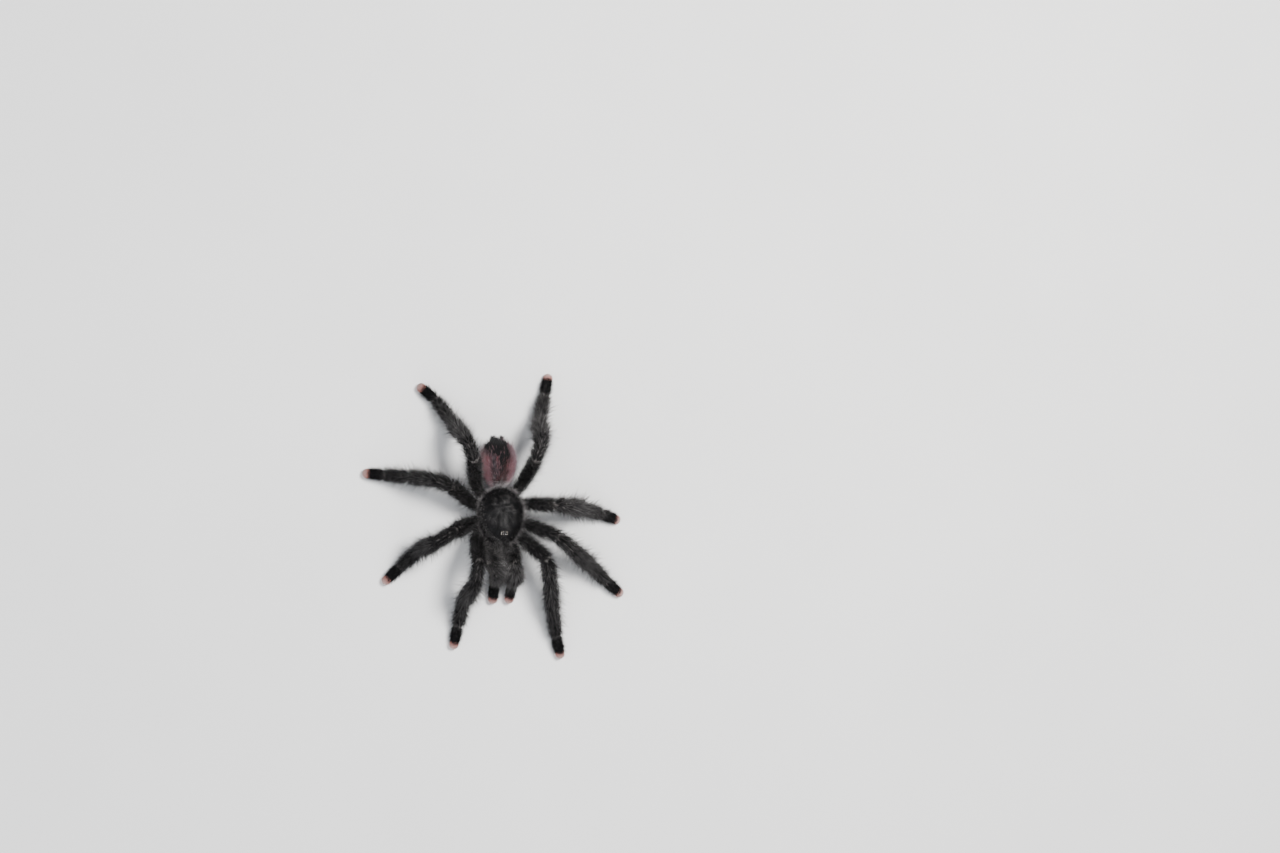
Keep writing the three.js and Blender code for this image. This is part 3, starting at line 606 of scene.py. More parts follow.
# The tufts of each layer: their levels, the ranges of their length and width, and their angle over
# the skin at the root and at the tip, as a mean and a spread or as one angle for all. The first
# three are a limb's, whose lengths are shares of its layer's length along it.
HAIR = {
    "nap": (1, (0.75, 1.2), (0.19, 0.27), (0.5, 0.1), (0.3, 0.1)),
    "pelt": (2, (0.6, 1.2), (0.13, 0.19), (1.0, 0.16), (0.55, 0.22)),
    "setae": (2, (0.5, 1.25), (0.09, 0.135), (1.28, 0.18), (0.9, 0.28)),
    "carapace_nap": (1, (0.65, 1.4), (0.08, 0.125), (0.5, 0.12), (0.36, 0.12)),
    "carapace_fringe": (2, (1.4, 3.7), (0.07, 0.115), (1.15, 0.25), (0.75, 0.3)),
    "carapace_rim": (3, (1.0, 2.4), (0.07, 0.1), (0.9, 0.2), (0.4, 0.3)),
    "eye_bristles": (1, (0.25, 0.5), (0.06, 0.1), (0.9, 0.15), (0.7, 0.15)),
    "abdomen_nap": (1, (0.9, 1.5), (0.2, 0.28), (0.5, 0.1), (0.4, 0.1)),
    "abdomen_pelt": (2, (1.5, 2.7), (0.12, 0.18), (0.72, 0.13), (0.32, 0.15)),
    "abdomen_halo": (2, (2.2, 3.9), (0.08, 0.12), (1.05, 0.16), (0.62, 0.2)),
    "abdomen_ruff": (2, (1.4, 2.9), (0.08, 0.12), (1.15, 0.2), (0.8, 0.25)),
    "abdomen_rear": (2, (1.4, 3.8), (0.08, 0.13), (0.75, 0.2), (0.5, 0.2)),
    "toe": (1, (0.5, 0.85), (0.15, 0.2), (0.55, 0.12), (0.4, 0.12)),
    "chelicera_nap": (1, (0.6, 1.1), (0.16, 0.22), 0.5, 0.3),
    "chelicera_long": (2, (1.3, 3.8), (0.08, 0.12), (0.95, 0.15), 0.4),
    "spinneret": (1, (0.7, 1.7), (0.09, 0.14), (0.9, 0.15), 0.5),
    "sternum": (1, (0.8, 1.4), (0.18, 0.26), 0.45, 0.3),
}
LOWEST_NAP = 0.2  # the least angle of a limb's nap over the skin


def spread(count, jitter=0.35):
    """count points spread evenly over the unit square, each moved a little."""
    steps = np.arange(count)[:, None] * R2_STEPS + rng.uniform(0, 1, 2)
    return (steps + rng.normal(0, jitter / count**0.5, (count, 2))) % 1


def placed(shares, places, density):
    """Spreads shares between 0 and 1 over the places, as thick as the density there."""
    total = np.concatenate([[0], np.cumsum((density[1:] + density[:-1]) / 2 * np.diff(places))])
    return np.interp(shares * total[-1], total, places)


def random(count):
    """One number between 0 and 1 for each tuft."""
    return rng.uniform(0, 1, count)


def map_patch(across, along):
    """Where tufts are on their coat's map, clear of its edges."""
    return np.stack([0.01 + 0.98 * across, 0.01 + 0.98 * along], axis=1)


def hair(layer, count, longer=1.0, raised=0.0):
    """Draws the sizes of a layer's tufts and their angles over the skin, for Coat.grow."""
    levels, length, width, *angles = HAIR[layer]
    drawn = {
        "levels": levels,
        "length": rng.uniform(*length, count) * longer,
        "width": rng.uniform(*width, count),
    }
    for name, angle in zip(("lift", "tuck"), angles):
        drawn[name] = raised + (angle if isinstance(angle, float) else rng.normal(*angle, count))
    return drawn


def blade_faces(levels):
    """The faces of one tuft: its root, its sides ring by ring, and its point."""
    faces = [(2, 1, 0)]
    for here in range(0, 3 * (levels - 1), 3):
        for j, k in ((0, 1), (1, 2), (2, 0)):
            faces.append((here + j, here + k, here + 3 + k, here + 3 + j))
    last = 3 * (levels - 1)
    return faces + [(last + j, last + (j + 1) % 3, last + 3) for j in range(3)]


class Coat:
    """Tufts of hair gathered in one mesh. Each is a closed, three-sided blade with a fine tip."""

    def __init__(self):
        self.batches = []

    def grow(self, foot, out, lie, patch, *, levels, length, width, lift, tuck, root, tip):
        """Adds tufts. lift and tuck are their angles over the skin at the root and at the tip."""
        count = len(foot)
        length, width, lift, tuck = (np.broadcast_to(v, count) for v in (length, width, lift, tuck))
        lie = unit(lie - (lie * out).sum(1, keepdims=True) * out)
        across = np.cross(out, lie)
        rings = np.arange(levels + 1) / levels
        middles = lift[:, None] + (tuck - lift)[:, None] * (rings[:-1] + rings[1:]) / 2
        steps = np.cos(middles)[..., None] * lie[:, None] + np.sin(middles)[..., None] * out[:, None]
        path = np.cumsum(steps * (length / levels)[:, None, None], axis=1)
        foot = foot - out * TUFT_SINK
        centres = np.concatenate([np.zeros((count, 1, 3)), path], axis=1) + foot[:, None]
        angles = (lift[:, None] + (tuck - lift)[:, None] * rings)[..., None]
        over = np.cos(angles) * out[:, None] - np.sin(angles) * lie[:, None]
        girth = (width[:, None] * np.interp(rings, *TUFT_GIRTH))[..., None]
        right = centres + across[:, None] * girth / 2
        ridge = centres + over * girth * TUFT_FLATNESS
        left = centres - across[:, None] * girth / 2
        blades = np.stack([right, ridge, left], axis=2)[:, :-1].reshape(count, -1, 3)
        points = np.concatenate([blades, centres[:, -1:]], axis=1)
        points[..., 2] = np.maximum(points[..., 2], FLOOR_CLEARANCE)
        along = np.append(np.repeat(rings[:-1], 3), 1.0)
        beside = np.append(np.tile((1.0, 0.0, -1.0), levels), 0.0)
        patches = patch[:, None] + np.stack([beside / 2, along - 0.5], axis=1) * TUFT_PATCH
        root, tip = (np.broadcast_to(c, (count, 3))[:, None] for c in (root, tip))
        colours = root * (1 - along[:, None]) + tip * along[:, None]
        self.batches.append((levels, points, patches, colours))

    def build(self, name, look="coat", slot="coat"):
        """The coat as one piece with its colours and its bake map."""
        loops, sizes, start = [], [], 0
        for levels, points, *_ in self.batches:
            count, size, _ = points.shape
            faces = blade_faces(levels)
            flat = np.concatenate([np.array(face) for face in faces])
            offsets = start + np.arange(count) * size
            loops.append((offsets[:, None] + flat).ravel())
            sizes.append(np.tile([len(face) for face in faces], count))
            start += count * size
        loops, sizes = np.concatenate(loops), np.concatenate(sizes)
        points, patches, colours = (
            np.concatenate([batch[i].reshape(-1, batch[i].shape[-1]) for batch in self.batches])
            for i in (1, 2, 3)
        )
        mesh = bpy.data.meshes.new(name)
        mesh.vertices.add(len(points))
        mesh.vertices.foreach_set("co", metres(points).astype(np.float32).ravel())
        mesh.loops.add(len(loops))
        mesh.loops.foreach_set("vertex_index", loops.astype(np.int32))
        mesh.polygons.add(len(sizes))
        starts = np.concatenate([[0], np.cumsum(sizes)[:-1]])
        mesh.polygons.foreach_set("loop_start", starts.astype(np.int32))
        mesh.update(calc_edges=True)
        uv = mesh.uv_layers.new(name="OFBake")
        uv.uv.foreach_set("vector", patches[loops].astype(np.float32).ravel())
        set_marking(mesh, colours)
        mesh.shade_smooth()
        add_piece(mesh, look, slot)


# ---- the coat of a limb ----

# The hair of a limb has three layers: a short nap, a shaggy pelt and long sparse setae. Each has
# its first and last place, and its density and length along the limb: segment, place, value.
NAP = {
    "span": (("coxa", 0.3), ("tarsus", 0.82)),
    "density": (
        ("coxa", 0.3, 0.5), ("coxa", 1, 0.8), ("femur", 0, 1), ("metatarsus", 1, 1.1), ("tarsus", 0.2, 1.5),
    ),
    "length": (
        ("coxa", 0, 0.8), ("femur", 0.2, 1.1), ("tibia", 0.5, 1.2), ("tarsus", 0, 1.2), ("tarsus", 1, 0.85),
    ),
}
PELT = {
    "span": (("coxa", 0.5), ("tarsus", 0.72)),
    "density": (
        ("coxa", 0.5, 0.5), ("femur", 0, 0.8), ("patella", 0.1, 1), ("tibia", 0.1, 1.15),
        ("metatarsus", 0.8, 1.1), ("tarsus", 0.1, 0.9), ("tarsus", 0.7, 0.5),
    ),
    "length": (
        ("coxa", 0, 1.7), ("femur", 0.15, 3.0), ("patella", 0.5, 3.3), ("tibia", 0.5, 3.3),
        ("metatarsus", 0.5, 3.2), ("metatarsus", 0.85, 2.5), ("tarsus", 0.1, 2.1), ("tarsus", 0.7, 1.6),
    ),
}
SETAE = {
    "span": (("coxa", 0.5), ("tarsus", 0.6)),
    "density": (
        ("coxa", 0.5, 0.6), ("femur", 0, 0.6), ("femur", 0.7, 0.7), ("patella", 0.1, 1),
        ("tibia", 0.1, 1.3), ("tibia", 0.9, 1.3), ("metatarsus", 0.8, 1.0), ("tarsus", 0.1, 0.35),
        ("tarsus", 0.6, 0.05),
    ),
    "length": (
        ("coxa", 0, 2.2), ("trochanter", 0, 3.2), ("femur", 0.2, 4.2), ("femur", 0.8, 4.6),
        ("patella", 0.5, 5.0), ("tibia", 0.5, 5.2), ("tibia", 1, 4.6), ("metatarsus", 0.5, 4.4),
        ("tarsus", 0, 2.6), ("tarsus", 0.6, 1.7),
    ),
}
HOARINESS = {"leg_1": 0.25, "leg_2": 0.2, "leg_3": 0.34, "leg_4": 0.46, "palp": 0.46}
# How much longer a palp's hair is than a leg's, and how much more so towards the other palp.
PALP_SHAG = (
    ("coxa", 0, 1.0), ("femur", 0.4, 1.2), ("tibia", 0.1, 0.95), ("tibia", 0.9, 0.45), ("tarsus", 0, 0.5),
    ("tarsus", 1, 0.9),
)
PALP_INNER_SHAG = (
    ("femur", 0.1, 0.2), ("femur", 0.7, 0.65), ("patella", 0.9, 0.65), ("tibia", 0.5, 0.35),
    ("tibia", 0.9, 0),
)
HIGH_KNEES = (14, 18)  # between these heights the hair becomes shorter
BESIDE_ABDOMEN = (1.3, 2.0)  # and between these distances, in half widths of the abdomen
STRIPE_ANGLE = radians(24)  # of the two pale lines, from the top of the limb
STRIPE_HALF_ANGLE = radians(7)
STRIPES = (  # their strength
    ("femur", 0.65, 0.0), ("femur", 0.72, 0.3), ("femur", 0.85, 0.3), ("femur", 0.9, 0.0),
    ("patella", 0.1, 0.0), ("patella", 0.16, 0.9), ("patella", 0.86, 0.8), ("patella", 0.92, 0.0),
    ("tibia", 0.06, 0.0), ("tibia", 0.1, 0.7), ("tibia", 0.5, 0.25), ("tibia", 0.6, 0.0),
)
MOST_MARKED = 0.85  # share of the hair that a ring or a stripe makes pale


def stripe(limb, s, angle):
    """How strong the two pale lines are along the top of the knee, from 0 to 1."""
    from_top = np.abs(wrapped(angle - pi / 2))
    across = np.exp(-(((from_top - STRIPE_ANGLE) / STRIPE_HALF_ANGLE) ** 4))
    worn = 0.75 + 0.25 * np.sin(2.7 * s + 2 * np.sign(np.cos(angle)) + limb.length)
    return across * worn * limb.along(STRIPES, s)


def limb_roots(limb, layer, count):
    """Places and angles spread over a limb, with their skin points, normals and map patches."""
    shares = spread(count)
    start, stop = (limb.place(*end) for end in layer["span"])
    rows = np.linspace(start, stop, 400)
    girth = limb.at(limb.half_width, rows) + limb.at(limb.half_height, rows)
    s = placed(shares[:, 0], rows, girth * limb.along(layer["density"], rows))
    angle = shares[:, 1] * tau
    return s, angle, *limb.surface(s, angle), map_patch(s / limb.length, shares[:, 1])


def onward(limb, s, waver, calm=1.0):
    """The way along the limb, wavering to both sides."""
    return limb.at(limb.axis, s) + limb.at(limb.across, s) * rng.normal(0, waver, (len(s), 1)) * calm


def shagginess(limb, s, angle, foot):
    """How long the hair is at places on a limb, as a share of its layer's length.

    It is clumped, and shorter over the high knees and where it lies against the abdomen.
    """
    clumps = np.sin(1.9 * s + 2 * angle) + np.sin(3.1 * s - 3 * angle + 1)
    clumps += np.sin(0.9 * s + 5 * angle + 2)
    trimmed = 1 - 0.3 * smoothstep(foot[:, 2], *HIGH_KNEES)
    away = (foot - ABDOMEN_MIDDLE)[:, :2] / (ABDOMEN["half_width"], ABDOMEN["half_length"])
    trimmed *= 0.5 + 0.5 * smoothstep(np.linalg.norm(away, axis=1), *BESIDE_ABDOMEN)
    if limb.is_palp:
        inward = -limb.side * np.cos(angle)
        trimmed *= limb.along(PALP_SHAG, s) * (1 + limb.along(PALP_INNER_SHAG, s) * inward)
    return (1 + 0.11 * clumps) * trimmed


def grow_nap(coat, limb, count, hoar):
    """The nap, with the pale lines and rings."""
    s, angle, foot, out, patch = limb_roots(limb, NAP, count)
    tone = random(count)
    marked = np.clip(0.75 * limb.ring(s) + 0.8 * stripe(limb, s, angle), 0, MOST_MARKED)
    pale = np.where(random(count) < marked, 0.35 + 0.5 * tone, 0)
    pale = np.maximum(pale, 0.3 * hoar * tone**4 * (s < limb.place("tarsus", 0.05)))
    lie = onward(limb, s, 0.16)
    drawn = hair("nap", count, limb.along(NAP["length"], s))
    drawn["lift"] = drawn["lift"].clip(LOWEST_NAP)
    coat.grow(
        foot, out, lie, patch, **drawn,
        root=mix(mix(JET, CHARCOAL, tone), RING * 0.5, pale),
        tip=mix(mix(JET, CHARCOAL, 0.4 + 0.6 * tone), RING, pale),
    )


def grow_pelt(coat, limb, count, hoar):
    """The pelt, thinner over the rings, and flat and pale on the lines."""
    roots = limb_roots(limb, PELT, count)
    keep = random(count) > 0.6 * limb.ring(roots[0])
    s, angle, foot, out, patch = (a[keep] for a in roots)
    count = len(s)
    tone = random(count)
    marked = np.clip(0.9 * limb.ring(s) + 0.75 * stripe(limb, s, angle), 0, MOST_MARKED)
    marked = random(count) < marked
    flat = np.where(marked, 0.4, 1)
    lie = onward(limb, s, 0.2, flat[:, None])
    pale = hoar * smoothstep(tone, 0.55, 1.0) * (s < limb.place("tarsus", 0.05))
    tip = mix(mix(JET, ASH, 0.03 + 0.3 * tone), SMOKE, 0.55 * pale)
    shag = shagginess(limb, s, angle, foot) * (0.5 + 0.5 * flat)
    drawn = hair("pelt", count, limb.along(PELT["length"], s) * shag)
    drawn["lift"] *= 0.3 + 0.7 * flat
    drawn["tuck"] *= flat
    coat.grow(
        foot, out, lie, patch, **drawn,
        root=np.where(marked[:, None], RING * 0.3, JET),
        tip=np.where(marked[:, None], mix(SMOKE, RING, tone), tip),
    )


def grow_setae(coat, limb, count, hoar):
    """The setae, of which few stand below the limb."""
    roots = limb_roots(limb, SETAE, count)
    keep = random(count) > -1.2 * np.sin(roots[1]) - 0.1
    s, angle, foot, out, patch = (a[keep] for a in roots)
    count = len(s)
    tone = random(count)
    lie = onward(limb, s, 0.3)
    length = limb.along(SETAE["length"], s) * shagginess(limb, s, angle, foot)
    coat.grow(
        foot, out, lie, patch, **hair("setae", count, length), root=CHARCOAL,
        tip=mix(ASH, SMOKE, np.clip(0.08 + hoar * (0.2 + tone), 0, 1)),
    )


def limb_coat(limb):
    coat = Coat()
    counts = LIMB_TUFTS["palp" if limb.is_palp else "leg"]
    for grow, count in zip((grow_nap, grow_pelt, grow_setae), counts):
        grow(coat, limb, count, HOARINESS[limb.kind])
    coat.build(f"{limb.name}_coat")


# ---- carapace and eyes ----

CURLY_SIDE = radians(35)  # where rim hair is thickest, from the right towards the front
BALD = {"half_width": 1.7, "half_length": 1.3, "share": 0.85}  # over the eye mound


def carapace_height(x, y):
    half_length = np.where(y > 0, CARAPACE_REAR, CARAPACE_NOSE)
    reach = np.minimum(1, np.hypot(x / CARAPACE_HALF_WIDTH, y / half_length))
    front = smoothstep(-y, 1, CARAPACE_FRONT)
    dome = 1 - reach ** (DOME["roundness"] + DOME["front_roundness"] * front)

    def mound(place, form):
        return np.exp(-((x / form["half_width"]) ** 2) - ((y - place) / form["half_length"]) ** 2)

    head = HEAD["rise"] * mound(-HEAD["ahead"], HEAD) * dome
    fovea = FOVEA["depth"] * mound(FOVEA["back"], FOVEA)
    heading = np.arctan2(y - FOVEA["back"], x)
    ray = np.maximum(0, np.cos(FURROWS["count"] * heading)) ** FURROWS["sharpness"]
    uneven = 1 - FURROWS["unevenness"] * np.cos(1.5 * (heading + pi / 2)) ** 2
    furrow = FURROWS["depth"] * ray * uneven * 4 * reach * (1 - reach)
    ahead = FOVEA["back"] - y
    beside = (np.abs(x) - HEAD_GROOVE["slope"] * ahead) / HEAD_GROOVE["half_width"]
    length = HEAD_GROOVE["length"]
    within = smoothstep(ahead, 0, 2) * (1 - smoothstep(ahead, 0.6 * length, length))
    groove = HEAD_GROOVE["depth"] * within * np.exp(-(beside**2))
    return CARAPACE_RIM + (CARAPACE_CROWN - CARAPACE_RIM) * dome + head - fovea - furrow - groove


def carapace_point(reach, angle, height=None):
    """Points over the carapace, at a given height or on its surface."""
    narrowing = 1 - CARAPACE_NARROWING * smoothstep(-np.sin(angle), 0.2, 1)
    x = CARAPACE_HALF_WIDTH * reach * np.cos(angle) * narrowing
    half_length = np.where(np.sin(angle) > 0, CARAPACE_REAR, CARAPACE_NOSE)
    y = half_length * reach * np.sin(angle) + FOVEA["back"] * (1 - reach)
    z = carapace_height(x, y) if height is None else np.full_like(x, height)
    return np.stack([x, np.maximum(y, -CARAPACE_FRONT), z], axis=-1)


def carapace():
    """The glossy black shield of the head and thorax."""
    angles = circle(160)
    rings = [carapace_point(reach, angles, CARAPACE_UNDERSIDE + lift) for reach, lift in CARAPACE_EDGE]
    rings += [carapace_point(reach, angles) for reach in 0.985 * np.sqrt(np.linspace(1, 0.0008, 46))]
    pit = carapace_point(np.zeros(1), np.zeros(1))[0]
    add_piece(mesh_of("carapace_shell", *loft(rings, end=pit)), "carapace", "carapace", "carapace")


def carapace_roots(reach, angle):
    """Points on the carapace, the way out of it and the way down to its rim."""
    return with_normals(carapace_point, reach, angle, step=0.004)


def carapace_coat():
    """A nap over the shield, and long hair standing out below and over its rim."""
    coat = Coat()
    carapace_nap(coat)
    carapace_fringe(coat)
    rim_hair(coat)
    eye_bristles(coat)
    coat.build("carapace_coat")


def carapace_nap(coat):
    """Short hair that swirls, greyer in the middle: partly grey hair, partly painted sheen where the dome's
    top catches the light.
    """
    shares = spread(TUFTS["carapace_nap"])
    reach, angle = np.sqrt(shares[:, 0]) * 0.99 + 0.005, shares[:, 1] * tau
    foot, out, lie = carapace_roots(reach, angle)
    ahead = (foot[:, 1] + EYE_MOUND["ahead"]) / BALD["half_length"]
    bald = BALD["share"] * np.exp(-((foot[:, 0] / BALD["half_width"]) ** 2) - ahead**2)
    keep = (random(len(foot)) > bald) & (out[:, 2] > 0.2)
    foot, out, lie, reach, angle = (a[keep] for a in (foot, out, lie, reach, angle))
    patch = 0.5 + 0.47 * reach[:, None] * np.stack([np.cos(angle), np.sin(angle)], axis=1)
    count = len(foot)
    tone = random(count)
    clumps = np.sin(5 * angle + 4 * reach) + np.sin(11 * angle - 9 * reach + 1)
    clumps += np.sin(3 * angle + 17 * reach)
    # grey tips in the middle: the nap's own grey and a painted sheen, fading to black towards the rim
    grey = (1 - smoothstep(reach, 0.45, 0.85)) * np.clip(0.3 + 0.32 * clumps, 0, 1) * tone**1.2
    turn = 0.35 * np.sin(3 * angle + 6 * reach)[:, None] * np.cross(out, lie)
    lie = lie + turn + rng.normal(0, 0.24, (count, 3))
    coat.grow(
        foot, out, lie, patch,
        **hair("carapace_nap", count, 1 + 0.7 * smoothstep(reach, 0.75, 1)),
        root=JET, tip=mix(mix(JET, CHARCOAL, tone), SMOKE, 0.85 * grey),
    )


def carapace_fringe(coat):
    """Long hair in bunches that stands out below the rim, palest at the rear."""
    count = TUFTS["carapace_fringe"]
    shares = spread(count)
    angle = shares[:, 0] * tau
    height = CARAPACE_UNDERSIDE + 0.3 + 0.4 * shares[:, 1]
    foot = carapace_point(np.full(count, 0.99), angle, 0.0) + UP * height[:, None]
    out = unit(np.stack([foot[:, 0], foot[:, 1] * 0.8, np.zeros(count)], axis=1))
    out[foot[:, 1] < -CARAPACE_FRONT + 0.1] = (0, -1, 0)
    patch = np.stack([0.01 + 0.98 * shares[:, 0], 0.02 + 0.1 * shares[:, 1]], axis=1)
    tone = random(count)
    waves = np.sin(7 * angle + 1) + np.sin(12 * angle + 2)
    bunch = smoothstep(waves + 1.6 * rng.uniform(-1, 1, count), -1.6, 1.2)
    rear = smoothstep(np.sin(angle), 0.6, 0.95)
    patchy = smoothstep(np.sin(3 * angle + 0.9) + np.sin(5 * angle + 1.2), -1.1, 0.9)
    lie = np.cross(UP, out) * rng.normal(0, 1, (count, 1)) + UP * (0.5 + rng.normal(0, 0.35, (count, 1)))
    bright = mix(SMOKE, FROST, 0.35 * tone + 0.65 * rear)
    coat.grow(
        foot, out, lie, patch, **hair("carapace_fringe", count, 0.45 + 0.55 * bunch),
        root=CHARCOAL, tip=mix(ASH, bright, bunch * np.sqrt(tone) * (0.45 + 0.55 * patchy)),
    )


def rim_hair(coat):
    """Curly hair over the rim of the shield, most of it at its right front."""
    shares = spread(TUFTS["carapace_rim"])
    angle = shares[:, 0] * tau
    foot, out, down = carapace_roots(0.84 + 0.15 * shares[:, 1], angle)
    keep = random(len(angle)) < 0.12 + 0.88 * smoothstep(-np.cos(angle - CURLY_SIDE), 0.2, 0.9)
    foot, out, down, angle = (a[keep] for a in (foot, out, down, angle))
    count = len(foot)
    tone = random(count)
    down = down * np.where(random(count) < 0.35, -1, 1)[:, None]
    aside = np.cross(out, down) * rng.normal(0, 1.1, (count, 1))
    patch = 0.5 + 0.44 * np.stack([np.cos(angle), np.sin(angle)], axis=1)
    coat.grow(
        foot, out, down + aside, patch, **hair("carapace_rim", count),
        root=CHARCOAL, tip=mix(ASH, SMOKE, 0.85 * tone**2.5),
    )


def mound_point(share, lift, angle):
    """A place on the eye mound."""
    x = EYE_MOUND["half_width"] * share * np.cos(angle)
    y = -EYE_MOUND["ahead"] + EYE_MOUND["half_length"] * share * np.sin(angle)
    z = carapace_height(x, y) + (EYE_GAP + EYE_MOUND["height"]) * lift
    return np.stack([x, y, z], axis=-1)


def lens_places():
    """The middle and the radius of each of the eight lenses."""
    for side in SIDES.values():
        for across, forward, radius in EYES:
            x, y = side * across, -EYE_MOUND["ahead"] - forward
            reach = hypot(x / EYE_MOUND["half_width"], forward / EYE_MOUND["half_length"])
            rise = EYE_MOUND["height"] * (1 - EYE_MOUND["slope"] * reach**3)
            height = float(carapace_height(np.array(x), np.array(y))) + EYE_GAP + rise
            yield (x, y, height - LENS_SINK * radius), radius


def eye_bristles(coat):
    """Short bristles over the eye mound, between its lenses."""
    profile = np.array(MOUND_PROFILE)[:0:-1]
    shares = spread(TUFTS["eye_bristles"])
    share, angle = np.sqrt(shares[:, 0] * 0.98 + 0.02), shares[:, 1] * tau
    foot = mound_point(share, np.interp(share, profile[:, 0], profile[:, 1]), angle)
    keep = np.ones(len(foot), bool)
    for middle, radius in lens_places():
        keep &= np.linalg.norm(foot[:, :2] - middle[:2], axis=1) > 1.15 * radius
    foot, angle, share = foot[keep], angle[keep], share[keep, None]
    count = len(foot)
    flat = np.stack([np.cos(angle), np.sin(angle), np.zeros(count)], axis=1)
    tone = random(count)
    lie = flat + rng.normal(0, 0.3, (count, 3))
    coat.grow(
        foot, unit(UP + flat * share**3), lie, 0.5 + 0.03 * flat[:, :2] * share,
        **hair("eye_bristles", count), root=JET, tip=mix(CHARCOAL, SMOKE, 0.5 * tone**2),
    )


def ball(middle, radius, rows=14, sides=24):
    """A slightly flattened lens."""
    angles = circle(sides)
    rings = []
    for latitude in np.linspace(-pi / 2, pi / 2, rows + 1)[1:-1]:
        level = np.stack([np.cos(angles), np.sin(angles), np.zeros(sides)], axis=1) * cos(latitude)
        rings.append(np.array(middle) + radius * (level + UP * LENS_FLATNESS * sin(latitude)))
    apex = UP * LENS_FLATNESS * radius
    return loft(rings, start=np.array(middle) - apex, end=np.array(middle) + apex)


def eyes():
    """The eye mound with its eight lenses: the front middle two are dark, the others pearly, paled further
    as painted highlight.
    """
    rings = [mound_point(share, lift, circle(48)) for share, lift in MOUND_PROFILE]
    add_piece(mesh_of("eye_mound", *loft(rings)), "carapace", "carapace")
    lenses = [ball(middle, radius) for middle, radius in lens_places()]
    mesh = mesh_of("eye_lenses", *together(lenses))
    colours = zip(lenses, LENS_COLOURS * len(SIDES))
    set_marking(mesh, np.vstack([np.tile(colour, (len(lens[0]), 1)) for lens, colour in colours]))
    add_piece(mesh, "lens", "lens", "eyes")


# ---- abdomen ----

# The markings of the abdomen, in degrees: the bearing from its front to its rear end, and there,
# round from its top with the left side positive, where the mottled strip and the dark band begin
# and where the band ends.
ABDOMEN_MARKS = np.array((
    (15, -80, -55, 58),
    (35, -58, -36, 40),
    (60, -46, -16, 28),
    (90, -47, -19, 19),
    (114, -47, -20, 25),
    (134, -84, -70, 28),
    (150, -135, -125, 34),
    (165, -190, -190, 75),
))
STREAKS = ((17, 2.1, 0.3), (29, -1.4, 1.9), (41, 2.6, 4.1), (11, -3.0, 5.2))  # around, along, phase
BELLY = (108, 138)  # degrees round from the top, from where it starts to where it is full
FRONT = (17, 36)  # degrees of bearing, the same the other way
REAR_TUFT = {"aside": -1.6, "half_width": 2.8, "heading": np.array((-0.45, 1, -0.3))}


def abdomen_point(bearing, round_):
    """Points on the abdomen: bearing runs from its front to its rear end, round_ from its top."""
    rearward = -np.cos(bearing)
    fullness = np.maximum(np.sin(bearing), 0) ** ABDOMEN_TAPER * (1 + ABDOMEN_REAR * rearward)
    x = ABDOMEN["half_width"] * fullness * np.sin(round_)
    tall = ABDOMEN["half_height"] * fullness * np.cos(round_)
    z = tall * np.where(np.cos(round_) < 0, ABDOMEN_BELLY, 1)
    return np.stack([x, ABDOMEN["half_length"] * rearward, z], axis=-1) + ABDOMEN_MIDDLE


def abdomen_zones(bearing, round_):
    """Shares of the dark band, the mottled strip, the belly and the front, and the streaks."""
    along, aside = np.degrees(bearing), np.degrees(wrapped(round_))
    waves = [np.sin(a * round_ + b * bearing + phase) for a, b, phase in STREAKS]
    streak = sum(waves) / len(STREAKS)
    strip, start, stop = (np.interp(along, ABDOMEN_MARKS[:, 0], column) for column in ABDOMEN_MARKS.T[1:])
    ragged = aside + 7 * streak
    beyond_start = smoothstep(ragged, start - 7, start + 7)
    band = beyond_start * (1 - smoothstep(ragged, stop - 5, stop + 5))
    mottled = smoothstep(ragged, strip - 12, strip + 12) * (1 - beyond_start)
    return band, mottled, smoothstep(np.abs(aside), *BELLY), 1 - smoothstep(along, *FRONT), streak


def flank_colours(along, aside, streak, tone):
    """Streaky rose that pales down the flanks, and is darker on the left one, where abdomen_colours paints
    shade.
    """
    on_left = aside > 0
    pink = mix(DUST, ROSE, np.clip(0.45 + 1.5 * streak + 0.5 * (tone - 0.5), 0, 1))
    pink = mix(pink, SMOKE * 0.8, 0.5 * smoothstep(along, 104, 132))
    pale_from = np.where(on_left, np.interp(along, (95, 118), (46, 22)), 66)
    pale_to = pale_from + np.where(on_left, 24, 60)
    pale = smoothstep(np.abs(aside) + 16 * (tone - 0.5) + 9 * streak, pale_from, pale_to)
    return mix(pink, mix(BLUSH, LILAC, 0.3 + 0.7 * tone) * 0.7, pale)


